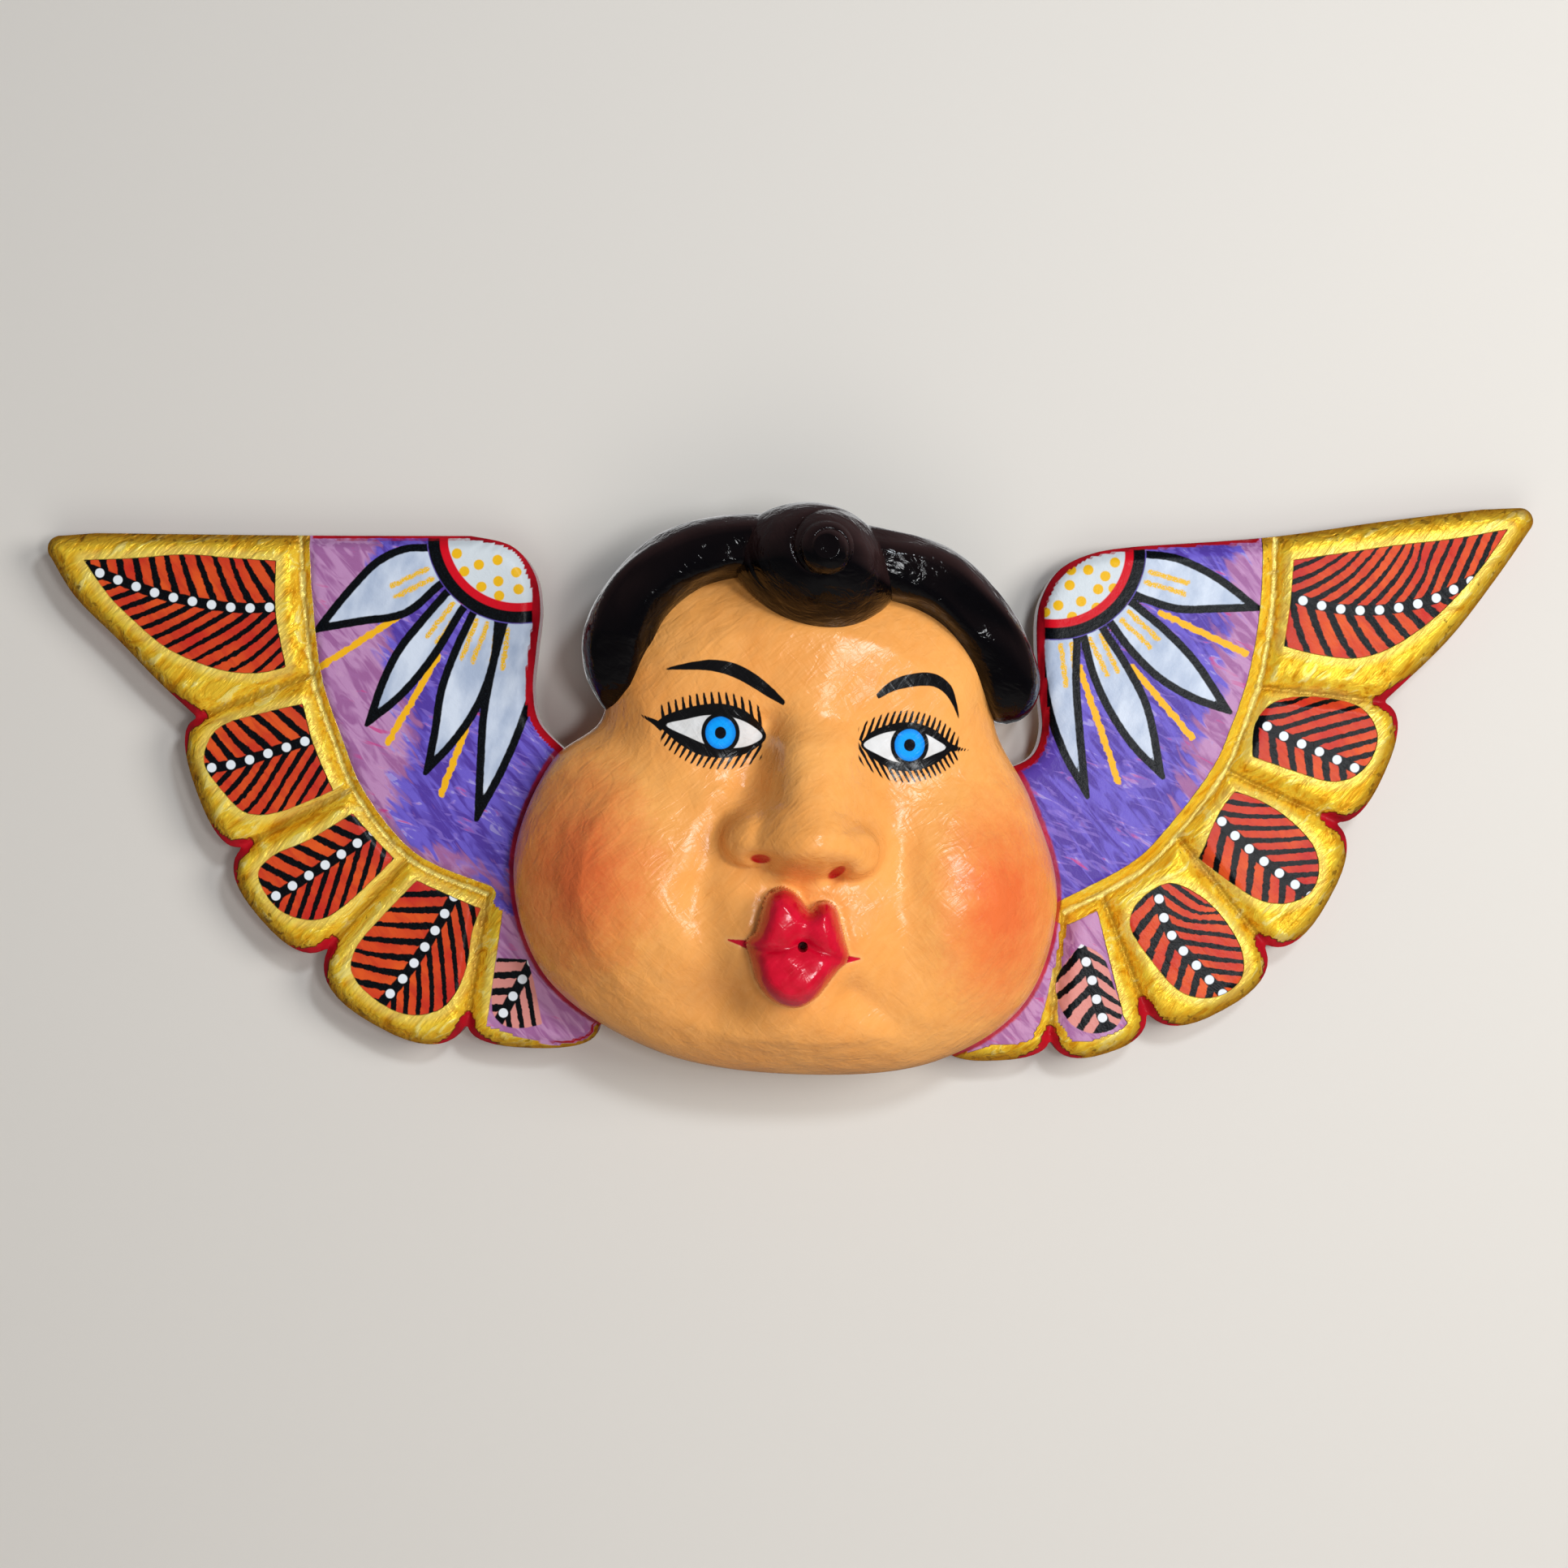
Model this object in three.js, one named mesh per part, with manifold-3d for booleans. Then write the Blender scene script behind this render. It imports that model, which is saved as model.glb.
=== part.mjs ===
// A winged wall mask, carved in light wood and painted: a round child's head with a roll of hair
// and a snail curl over the brow, and two wings fixed to its sides.
// Millimetres. +X is the viewer's right, +Z is up, the front looks along -Y and the back is the plane Y = 0.
// The origin is on the flat back of the head, behind the brow, where the mask bears on the wall.
import * as THREE from 'three';
import { mergeVertices } from 'three/addons/utils/BufferGeometryUtils.js';
import Module from 'manifold-3d';

const wasm = await Module();
wasm.setup();

// Driving sizes of the head
const RIM_DEPTH = 27;          // how far the widest line of the head stands off the wall
const FACE_DEPTH = 62;         // how far the plain face stands off the wall, without its features
const BACK_SCALE = 0.93;       // the head draws in behind its widest line
const FACE_POLE = [6, -114];   // the mouth, from which the face is rounded off to its outline
const WALL = 14;               // wood left between the face and the hollow behind it
const FACE_OUTLINE = [
  [10, -171], [58, -165.5], [90, -144], [102, -105], [92, -68], [79, -42], [76, -6], [50, 20],
  [5, 29], [-45, 20], [-66, -8], [-68, -38], [-86, -53], [-101, -92], [-90, -133], [-48, -162],
];
const HOLLOW_TOP = -18;        // the hollow ends below the solid wood that bears on the wall
const MOUTH_HOLE = { x: 6.5, z: -120.5, radius: 2, depth: 14 };

// The hair: middle of the roll, half its width, and how far it stands off the wall
const HAIR_ROLL = [
  [-65, -37, 2, 40], [-62.6, -25, 10.8, 52], [-60.5, -8, 13.9, 60], [-53.2, 6.3, 13.2, 63],
  [-41, 17.6, 12.7, 65], [-24.5, 24, 12, 66], [10, 24.8, 11.3, 66], [39.5, 17.4, 13.3, 65],
  [56.3, 12, 13.3, 62], [69.1, 1.2, 12.8, 57], [77.9, -11.4, 12.8, 53], [82.8, -25.2, 12.8, 49],
  [83.6, -40, 9, 44],
];
const HAIR_RIDGES = 8;         // shallow gouge marks along the roll
const HAIR_RIDGE_HEIGHT = 1;

// The curl over the brow, wound like a snail's shell: its outline, the top it leans to, and the groove that
// winds outwards from the boss, each whorl wider than the last
const CURL_OUTLINE = [
  [39.3, 16.2], [35.8, 25.6], [29.3, 33.3], [20.4, 38.4], [11.5, 40.4], [2.7, 40.1], [-6.2, 37.5],
  [-13.6, 32.4], [-17.5, 25.1], [-18, 15.9], [-13.6, 8.8], [-6.2, 1.4], [2.7, -3.9], [13, -6.6],
  [23.4, -6], [33.7, -0.7], [40.2, 6.4],
];
const CURL = {
  apex: [15.2, 21.8], roundReach: 21, edgeDepth: 54, rise: 35, footDepth: 20,
  bossReach: 7.6, growth: 1.68, groove: 2.4, grooveEnds: 26,
};

// Driving sizes of the wings
const WING_THICKNESS = 20;
const EDGE_ROUND = 4;          // rounding of the front edges, and depth of the grooves
const PAD_OVERLAP = 0.2;       // how far the plain board reaches above the bottom of the grooves
const GAP = 0.3;               // clearance between two pieces that touch
const LOBE_SQUARENESS = 2.5;   // above 2 a feather's end is fuller than an ellipse

// Each wing: its free outline from the tip along the top to the cheek, the carved arc between the field and
// the feathers, the share of the arc where each feather's lower side starts, and the notches between the
// feathers' ends with how far each end bulges past them. The first feather is the long one at the tip.
const LEFT_WING = {
  tip: [-273.2, 26.4], tipRadius: 5,
  topEdge: [[-260, 32.3], [-182, 31.4], [-118, 31.2]],
  shoulder: [[-103, 27.5], [-94.5, 17.5], [-92, 4]],
  innerEdge: [[-93.6, -12], [-94.8, -27], [-92, -40], [-80, -52]],
  hidden: [[-55, -70], [-52, -140]],
  arc: [
    [-182.3, 31], [-181, 6.5], [-177.5, -22.5], [-170, -45.5], [-160.5, -68], [-140.5, -91.5], [-112, -104],
  ],
  roots: [0.325, 0.635, 0.82, 1],
  longFeather: [[-267.5, 8], [-250.5, -9], [-236, -24]],
  notches: [[-221.5, -37.5], [-204, -86], [-171.5, -123.5], [-119.5, -152.5], [-70, -154]],
  bulges: [9.8, 13.3, 18, 9],
};
const RIGHT_WING = {
  tip: [278, 36.8], tipRadius: 5,
  topEdge: [[264, 41.2], [226, 36.6], [182, 30.6], [134, 27.3]],
  shoulder: [[118, 25], [105, 19.2], [98, 9.5], [95.4, -2.5]],
  innerEdge: [[96.3, -27], [97.3, -42], [93, -52.5], [80, -58]],
  hidden: [[55, -75], [50, -140]],
  arc: [
    [185.4, 29.9], [184.2, 3.5], [180, -21.5], [172.5, -44], [165, -60], [149.5, -80.5], [134, -96],
    [106, -111],
  ],
  roots: [0.31, 0.55, 0.73, 0.93, 1],
  longFeather: [[268.5, 14.5], [250.5, -8.5]],
  notches: [[226.5, -31.5], [206.5, -76], [180.8, -122.5], [136.2, -146.7], [100.2, -158], [60, -160]],
  bulges: [11.3, 14, 15.2, 12.4, 8],
};

const LOOKS = {
  face: { color: 0xe0a060, roughness: 0.4 },
  wing: { color: 0xd9a92f, roughness: 0.45 },
};

// Smooth helpers used by the carving
const hill = (x, z, [cx, cz], [rx, rz], height) =>
  height * Math.exp(-0.5 * (((x - cx) / rx) ** 2 + ((z - cz) / rz) ** 2));

function ridge(x, z, [ax, az], [bx, bz], [widthA, widthB], [heightA, heightB]) {
  const [dx, dz] = [bx - ax, bz - az];
  const share = THREE.MathUtils.clamp(((x - ax) * dx + (z - az) * dz) / (dx * dx + dz * dz), 0, 1);
  const away = Math.hypot(x - ax - share * dx, z - az - share * dz);
  const width = THREE.MathUtils.lerp(widthA, widthB, share);
  return THREE.MathUtils.lerp(heightA, heightB, share) * Math.exp(-0.5 * (away / width) ** 2);
}

// What the carver adds to the plain rounded face, as depth towards the viewer
function features(x, z) {
  return (
    hill(x, z, [-62, -98], [26, 27], 11) + hill(x, z, [72, -104], [24, 25], 10)     // cheeks
    + hill(x, z, [5, -8], [48, 26], 9)                                              // forehead
    + hill(x, z, [-21, -50], [17, 10], -5) + hill(x, z, [43, -53], [16, 10], -5)    // eye hollows
    + ridge(x, z, [12, -34], [11, -80], [8.5, 13], [3, 14])                         // bridge of the nose
    + ridge(x, z, [-5, -44], [-10, -68], [4.5, 5.5], [-4, -5.5])                    // its steeper side
    + hill(x, z, [6, -121], [25, 22], 10)                                           // mouth mound
    + ridge(x, z, [-30, -84], [-33, -120], [5, 8], [-3, -4])                        // cheek folds
    + ridge(x, z, [43, -90], [44, -124], [5, 8], [-3, -3])
    + hill(x, z, [-26, -143], [10, 8], -4) + hill(x, z, [30, -140], [10, 8], -3)    // dents under the mouth
    + hill(x, z, [5, -154], [30, 9], 4)                                             // chin
  );
}

// Rounded masses set on the face: middle, half-sizes, turn, how far each stands off the wall, and how far it
// falls from there to its edge
const NOSTRILS = { at: [6.4, -82.8], size: [27.6, 13.2], turn: -0.13, depth: 79, round: 13 };
const UPPER_LIP = [
  { at: [-1, -110.6], size: [10, 10.8], turn: 0.3, depth: 87, round: 12 },
  { at: [14.4, -112.8], size: [9, 9.6], turn: -0.3, depth: 86.6, round: 12 },
];
const LOWER_LIP = { at: [4.8, -130.4], size: [18, 12.8], turn: -0.15, depth: 87.4, round: 13 };

// The bridge of the nose widens and rises from the brow down to its tip, and is steeper on its left side
const NOSE = {
  brow: -44, tip: -82, middle: [10.5, 9.5], left: [8.6, 13.8], right: [13.5, 16], depth: [69, 90],
  round: [7, 16], under: 14.5, slopeAbove: 2,
};
const NOSE_BLEND = 6;     // how softly the bridge runs into the nostrils
const LIPS_BLEND = 2;
const FALL_BEYOND = 30;   // how steeply a mass falls away past its edge, down into the face
const FEATURE_ROOT = 46;  // how deep the masses reach into the face

// The net of points that each group of masses is shaped on: its middle, how far it reaches to the sides, up
// and down, and its numbers of points
const NOSE_NET = { middle: [8.5, -78], reach: [30, 38, 22], around: 28, rows: 15 };
const LIPS_NET = { middle: [5, -121], reach: [21, 23, 24], around: 24, rows: 13 };

// The higher of two surfaces, run together over a short blend
function over(low, high, blend) {
  const share = THREE.MathUtils.clamp(0.5 + (0.5 * (high - low)) / blend, 0, 1);
  return low + (high - low) * share + blend * share * (1 - share);
}

// How far a rounded mass has fallen, away being 0 in its middle and 1 on its edge
const fallen = (away, round) =>
  round * (1 - Math.sqrt(Math.max(0, 1 - away ** 2))) + FALL_BEYOND * Math.max(0, away - 1);

function dome(x, z, { at: [cx, cz], size: [rx, rz], turn, depth, round }) {
  const [dx, dz] = [x - cx, z - cz];
  const u = dx * Math.cos(turn) + dz * Math.sin(turn);
  const v = dz * Math.cos(turn) - dx * Math.sin(turn);
  return depth - fallen(Math.hypot(u / rx, v / rz), round);
}

function noseDepth(x, z) {
  const share = THREE.MathUtils.clamp((z - NOSE.brow) / (NOSE.tip - NOSE.brow), 0, 1);
  const between = ([from, to]) => THREE.MathUtils.lerp(from, to, share);
  const aside = x - between(NOSE.middle);
  const across = aside / between(aside < 0 ? NOSE.left : NOSE.right);
  const under = Math.max(0, NOSE.tip - z) / NOSE.under;
  const bridge = between(NOSE.depth) - fallen(Math.hypot(across, under), between(NOSE.round));
  const ended = NOSE.slopeAbove * Math.max(0, z - NOSE.brow);
  return over(dome(x, z, NOSTRILS), bridge - ended, NOSE_BLEND);
}

function lipsDepth(x, z) {
  const [left, right] = UPPER_LIP.map((lobe) => dome(x, z, lobe));
  return over(over(left, right, LIPS_BLEND), dome(x, z, LOWER_LIP), LIPS_BLEND);
}

// A closed body whose triangles face outwards, ready to be cut and joined
function solid(geometry) {
  const bare = geometry.clone();
  bare.deleteAttribute('normal');
  bare.deleteAttribute('uv');
  const merged = mergeVertices(bare, 1e-4);
  const { array } = merged.attributes.position;
  const corners = Uint32Array.from(merged.index.array);
  let volume = 0;
  const corner = (i) => new THREE.Vector3().fromArray(array, 3 * corners[i]);
  for (let i = 0; i < corners.length; i += 3) {
    volume += corner(i).dot(corner(i + 1).cross(corner(i + 2)));
  }
  if (volume < 0) {
    corners.reverse();
  }
  const vertProperties = Float32Array.from(array);
  return new wasm.Manifold(new wasm.Mesh({ numProp: 3, vertProperties, triVerts: corners }));
}

// A sphere's net of points, each moved by place(around, down); both run 0 to 1, down from pole to pole
function shaped(around, rows, place) {
  const geometry = new THREE.SphereGeometry(1, around, rows);
  const { position, uv } = geometry.attributes;
  for (let i = 0; i < position.count; i += 1) {
    const row = Math.round((1 - uv.getY(i)) * rows);
    const [x, depth, z] = place(THREE.MathUtils.euclideanModulo(uv.getX(i), 1), row / rows);
    position.setXYZ(i, x, -depth, z);
  }
  return solid(geometry);
}

const closedCurve = (points) => new THREE.CatmullRomCurve3(
  points.map(([x, z]) => new THREE.Vector3(x, 0, z)), true, 'centripetal',
);
const faceOutline = closedCurve(FACE_OUTLINE);

// Face: rows go from the pole over the front to the rim, round the wall and over the flat back
const FACE_AROUND = 60;
const FACE_ROWS = 26;
const FRONT_ROWS = 22;

function faceDepth(x, z, share) {
  const round = Math.sqrt(Math.max(0, 1 - share ** 2.3));
  const fade = Math.min(1, 4 * (1 - share));
  return RIM_DEPTH + (FACE_DEPTH - RIM_DEPTH) * round ** 0.85 + features(x, z) * fade;
}

function face(grow) {
  return shaped(FACE_AROUND, FACE_ROWS, (around, down) => {
    const edge = faceOutline.getPointAt(around);
    const out = new THREE.Vector2(edge.x - FACE_POLE[0], edge.z - FACE_POLE[1]);
    out.setLength(out.length() + grow);
    const row = Math.round(down * FACE_ROWS);
    const at = (share) => [FACE_POLE[0] + out.x * share, FACE_POLE[1] + out.y * share];
    if (row <= FRONT_ROWS) {
      const share = Math.sin((Math.PI / 2) * (row / FRONT_ROWS)) ** 1.2;
      const [x, z] = at(share);
      return [x, faceDepth(x, z, share) + grow, z];
    }
    const wallShares = [[0.985, RIM_DEPTH * 0.6], [BACK_SCALE, 0], [0.5, 0], [0, 0]];
    const [share, depth] = wallShares[Math.min(row - FRONT_ROWS - 1, wallShares.length - 1)];
    const [x, z] = at(share);
    return [x, depth, z];
  });
}

// The hollow at the back follows the face at the wall's thickness and stays open to the wall behind
function hollow() {
  const [HOLLOW_AROUND, HOLLOW_ROWS] = [28, 9];
  return shaped(HOLLOW_AROUND, HOLLOW_ROWS, (around, down) => {
    const edge = faceOutline.getPointAt(around);
    const row = Math.round(down * HOLLOW_ROWS);
    const front = HOLLOW_ROWS - 2;
    const share = row >= HOLLOW_ROWS ? 0 : Math.sin((Math.PI / 2) * Math.min(1, row / front));
    const inner = BACK_SCALE * share * (1 - WALL / 95);
    const x = FACE_POLE[0] + (edge.x - FACE_POLE[0]) * inner;
    const z = Math.min(FACE_POLE[1] + (edge.z - FACE_POLE[1]) * inner, HOLLOW_TOP);
    const round = Math.sqrt(Math.max(0, 1 - share ** 2.3));
    const depth = row < front ? (FACE_DEPTH - WALL) * round + hill(x, z, FACE_POLE, [30, 30], 4) : 0;
    return [x, row < front ? Math.max(depth, 6) : -4, z];
  });
}

const openCurve = (points) => new THREE.CatmullRomCurve3(points, false, 'centripetal');
const hairPath = openCurve(HAIR_ROLL.map(([x, z]) => new THREE.Vector3(x, 0, z)));
const hairSize = openCurve(HAIR_ROLL.map(([, , halfWidth, depth]) => new THREE.Vector3(halfWidth, depth, 0)));

// The roll of hair: a tapering body along its path
function hair(grow) {
  return shaped(14, 34, (turn, share) => {
    const angle = 2 * Math.PI * turn;
    const middle = hairPath.getPoint(share);
    const along = hairPath.getTangent(share);
    const [halfWidth, depth] = hairSize.getPoint(share).toArray();
    const ends = Math.min(1, Math.sqrt(Math.max(0, 1 - (2 * share - 1) ** 24)));
    const ripple = HAIR_RIDGE_HEIGHT * Math.sin(HAIR_RIDGES * 2 * Math.PI * share + 1.5 * angle) * ends;
    const side = Math.cos(angle);
    const front = Math.sin(angle);
    const reach = (halfWidth + grow) * ends * Math.sign(side) * Math.abs(side) ** 0.65;
    const x = middle.x - along.z * reach;
    const z = middle.z + along.x * reach;
    const middleDepth = depth * 0.5;
    const half = front > 0 ? depth - middleDepth + grow + ripple : middleDepth;
    return [x, middleDepth + half * ends * Math.sign(front) * Math.abs(front) ** 0.65, z];
  });
}

const curlOutline = closedCurve(CURL_OUTLINE);

// The curl: rows run from its top over the whorls to the edge, then back down its side to a flat foot
function curl() {
  const [CURL_AROUND, CURL_ROWS, TOP_ROWS] = [36, 19, 16];
  const [ax, az] = CURL.apex;
  return shaped(CURL_AROUND, CURL_ROWS, (around, down) => {
    const edge = curlOutline.getPointAt(around);
    const out = new THREE.Vector2(edge.x - ax, edge.z - az);
    const row = Math.round(down * CURL_ROWS);
    if (row > TOP_ROWS) {
      const share = [1, 0.9, 0][row - TOP_ROWS - 1];
      return [ax + out.x * share, CURL.footDepth, az + out.y * share];
    }
    const share = row / TOP_ROWS;
    const reach = share * THREE.MathUtils.lerp(CURL.roundReach, out.length(), share);
    const heading = out.angle() / (2 * Math.PI);
    const whorls = Math.log(Math.max(reach, 1) / CURL.bossReach) / Math.log(CURL.growth) + heading;
    const across = 2 * THREE.MathUtils.euclideanModulo(whorls, 1) - 1;
    const grooved = THREE.MathUtils.smoothstep(reach, CURL.bossReach / 2, CURL.bossReach)
      * (1 - THREE.MathUtils.smoothstep(reach, CURL.grooveEnds - 6, CURL.grooveEnds));
    const depth = CURL.edgeDepth + CURL.rise * (1 - share ** 2.1) ** 0.75
      - CURL.groove * across ** 4 * grooved;
    out.setLength(reach);
    return [ax + out.x, depth, az + out.y];
  });
}

// Nose or lips: rows run from the middle over the front to the edge, then across the root inside the face
function mass({ middle: [cx, cz], reach: [aside, up, down], around, rows }, depthAt) {
  return shaped(around, rows, (turn, fall) => {
    const angle = 2 * Math.PI * turn;
    const row = Math.round(fall * rows);
    const share = row === rows ? 0 : Math.min(1, row / (rows - 2));
    const x = cx + aside * share * Math.cos(angle);
    const z = cz + (Math.sin(angle) > 0 ? up : down) * share * Math.sin(angle);
    return [x, row > rows - 2 ? FEATURE_ROOT : Math.max(FEATURE_ROOT + 1, depthAt(x, z)), z];
  });
}

function mouthHole() {
  const { x, z, radius, depth } = MOUTH_HOLE;
  const bore = new THREE.CylinderGeometry(radius, radius * 0.6, depth, 12);
  bore.translate(x, -(FACE_DEPTH + 18), z);
  return solid(bore);
}

function head() {
  const raised = [hair(0), curl(), mass(NOSE_NET, noseDepth), mass(LIPS_NET, lipsDepth)];
  const carved = raised.reduce((body, piece) => body.add(piece), face(0));
  return carved.subtract(hollow()).subtract(mouthHole());
}

// Wings
const flat = ([x, z]) => new THREE.Vector2(x, z);

// A feather's free end: a full half-round from one notch to the next
function lobe(from, to, bulge, steps) {
  const [a, b] = [flat(from), flat(to)];
  const middle = a.clone().add(b).multiplyScalar(0.5);
  const half = b.clone().sub(a).multiplyScalar(0.5);
  const out = new THREE.Vector2(-half.y, half.x).normalize();
  if (out.y > 0) {
    out.negate();
  }
  const points = [];
  for (let i = 0; i <= steps; i += 1) {
    const angle = Math.PI * (i / steps);
    const power = 2 / LOBE_SQUARENESS;
    const across = -Math.sign(Math.cos(angle)) * Math.abs(Math.cos(angle)) ** power;
    const reach = bulge * Math.sin(angle) ** power;
    points.push(middle.clone().addScaledVector(half, across).addScaledVector(out, reach));
  }
  return points;
}

const smooth = (points, steps) => new THREE.SplineCurve(points).getPoints(steps);

function wingLines(wing) {
  const side = Math.sign(wing.tip[0]);
  const nose = [];
  const [turnFrom, turnTo] = side < 0 ? [0.45 * Math.PI, 1.25 * Math.PI] : [0.55 * Math.PI, -0.25 * Math.PI];
  for (let i = 0; i <= 6; i += 1) {
    const angle = THREE.MathUtils.lerp(turnFrom, turnTo, i / 6);
    const away = new THREE.Vector2(Math.cos(angle), Math.sin(angle)).multiplyScalar(wing.tipRadius);
    nose.push(away.add(flat(wing.tip)));
  }
  const arc = new THREE.SplineCurve(wing.arc.map(flat));
  const arcPart = (from, to, steps) => Array.from(
    { length: steps + 1 },
    (_, i) => arc.getPoint(THREE.MathUtils.lerp(from, to, i / steps)),
  );
  const roots = [0, ...wing.roots];
  const lobes = wing.bulges.map((bulge, i) => lobe(wing.notches[i], wing.notches[i + 1], bulge, 9));
  const longSide = smooth([nose.at(-1), ...wing.longFeather.map(flat), flat(wing.notches[0])], 8);
  const top = smooth(wing.topEdge.map(flat), 6);
  const inner = smooth([wing.topEdge.at(-1), ...wing.shoulder, ...wing.innerEdge].map(flat), 22);
  return { nose, arc, arcPart, roots, lobes, longSide, top, inner };
}

// A block standing on the wall plane, or a pad with rounded edges on top of it
function block(points, from, to, round) {
  const shape = new THREE.Shape(points.filter((p, i) => p.distanceTo(points.at(i - 1)) > 0.4));
  const depth = to - from - 2 * round;
  const geometry = new THREE.ExtrudeGeometry(shape, {
    depth,
    bevelEnabled: round > 0,
    bevelThickness: round,
    bevelSize: round,
    bevelOffset: -round,
    bevelSegments: 2,
  });
  geometry.translate(0, 0, from + round);
  geometry.rotateX(Math.PI / 2);
  return solid(geometry);
}

function wing(sizes, headRoom) {
  const { nose, arc, arcPart, roots, lobes, longSide, top, inner } = wingLines(sizes);
  const backwards = (points) => [...points].reverse();
  const hidden = sizes.hidden.map(flat);
  const tipSide = [...nose, ...longSide.slice(1)];
  const headSide = [...backwards(hidden), ...backwards(inner)];
  const outline = [...backwards(top), ...tipSide, ...lobes.flatMap((end) => end.slice(1)), ...headSide];

  const longTop = top.filter((p) => Math.abs(p.x) > Math.abs(sizes.arc[0][0]));
  const longPad = [...backwards(longTop), ...tipSide, ...backwards(arcPart(0, roots[1], 5))];
  const featherPads = lobes.map((end, i) => {
    const [upper, lower] = [roots[i + 1], roots[i + 2]];
    const underCheek = [...backwards(hidden), arc.getPoint(1)];
    return [...end, ...(lower === undefined ? underCheek : backwards(arcPart(upper, lower, 4)))];
  });
  const fieldPad = [...arcPart(0, 1, 16), ...headSide];

  const plateTop = WING_THICKNESS - EDGE_ROUND + PAD_OVERLAP;
  const padFrom = WING_THICKNESS - 2 * EDGE_ROUND - 1;
  return [longPad, ...featherPads, fieldPad]
    .map((pad) => block(pad, padFrom, WING_THICKNESS, EDGE_ROUND))
    .reduce((body, pad) => body.add(pad), block(outline, 0, plateTop, 0))
    .subtract(headRoom);
}

function mesh(name, body, look) {
  const { vertProperties, triVerts } = body.getMesh();
  const geometry = new THREE.BufferGeometry();
  geometry.setAttribute('position', new THREE.BufferAttribute(new Float32Array(vertProperties), 3));
  geometry.setIndex(new THREE.BufferAttribute(new Uint32Array(triVerts), 1));
  geometry.computeVertexNormals();
  const piece = new THREE.Mesh(geometry, new THREE.MeshStandardMaterial(look));
  piece.name = name;
  return piece;
}

const headRoom = face(GAP).add(hair(GAP));
const mask = new THREE.Group();
mask.add(mesh('head', head(), LOOKS.face));
mask.add(mesh('left_wing', wing(LEFT_WING, headRoom), LOOKS.wing));
mask.add(mesh('right_wing', wing(RIGHT_WING, headRoom), LOOKS.wing));

export default mask;
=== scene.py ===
import math

import bpy
import numpy as np
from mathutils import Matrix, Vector


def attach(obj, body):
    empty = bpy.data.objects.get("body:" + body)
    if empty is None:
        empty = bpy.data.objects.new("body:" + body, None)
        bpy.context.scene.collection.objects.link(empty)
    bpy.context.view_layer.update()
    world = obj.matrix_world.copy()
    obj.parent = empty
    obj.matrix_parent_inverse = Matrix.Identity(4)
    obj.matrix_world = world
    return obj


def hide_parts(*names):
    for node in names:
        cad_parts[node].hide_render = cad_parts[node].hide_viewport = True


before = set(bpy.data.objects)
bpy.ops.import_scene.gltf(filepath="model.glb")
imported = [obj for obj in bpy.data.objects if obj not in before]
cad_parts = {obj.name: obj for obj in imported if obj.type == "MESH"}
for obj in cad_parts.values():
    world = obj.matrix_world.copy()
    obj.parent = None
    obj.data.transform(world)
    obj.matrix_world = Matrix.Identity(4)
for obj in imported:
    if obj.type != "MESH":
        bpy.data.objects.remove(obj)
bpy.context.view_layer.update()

# Sizes are in millimetres, as (x, z) seen from the front, with depth measured off the wall.
MM = 0.001


# Curves and distances
def flowing(p1, t1, p2, t2, s):
    """The curve from p1 to p2 that sets out along t1 and comes in along t2."""
    return (
        (2 * s**3 - 3 * s**2 + 1) * p1 + (s**3 - 2 * s**2 + s) * t1
        + (3 * s**2 - 2 * s**3) * p2 + (s**3 - s**2) * t2
    )


def centripetal(points, closed=False, steps=24):
    """An evenly flowing curve through the points, with the number of steps per span."""
    known = np.array(points, float)
    count = len(known)
    spans = count if closed else count - 1
    share = np.linspace(0, 1, steps, endpoint=False)[:, None]
    drawn = []
    for i in range(spans):
        p1, p2 = known[i], known[(i + 1) % count]
        p0 = known[i - 1] if closed or i > 0 else 2 * known[0] - known[1]
        p3 = known[(i + 2) % count] if closed or i + 2 < count else 2 * known[-1] - known[-2]
        d0, d1, d2 = (max(np.linalg.norm(b - a) ** 0.5, 1e-4) for a, b in ((p0, p1), (p1, p2), (p2, p3)))
        t1 = d1 * ((p1 - p0) / d0 - (p2 - p0) / (d0 + d1) + (p2 - p1) / d1)
        t2 = d1 * ((p2 - p1) / d1 - (p3 - p1) / (d1 + d2) + (p3 - p2) / d2)
        drawn.append(flowing(p1, t1, p2, t2, share))
    if not closed:
        drawn.append(known[-1:])
    return np.vstack(drawn)


def plain_curve(points, at):
    """A plain spline through the points, read at shares of its length in spans."""
    known = np.array(points, float)
    last = len(known) - 1
    spot = np.clip(np.atleast_1d(at), 0, 1) * last
    i = np.minimum(spot.astype(int), last - 1)
    s = (spot - i)[:, None]
    p0, p1 = known[np.maximum(i - 1, 0)], known[i]
    p2, p3 = known[i + 1], known[np.minimum(i + 2, last)]
    return flowing(p1, (p2 - p0) / 2, p2, (p3 - p1) / 2, s)


def lengths(line):
    steps = np.hypot(*np.diff(line, axis=0).T)
    return np.concatenate([[0], np.cumsum(steps)])


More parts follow.
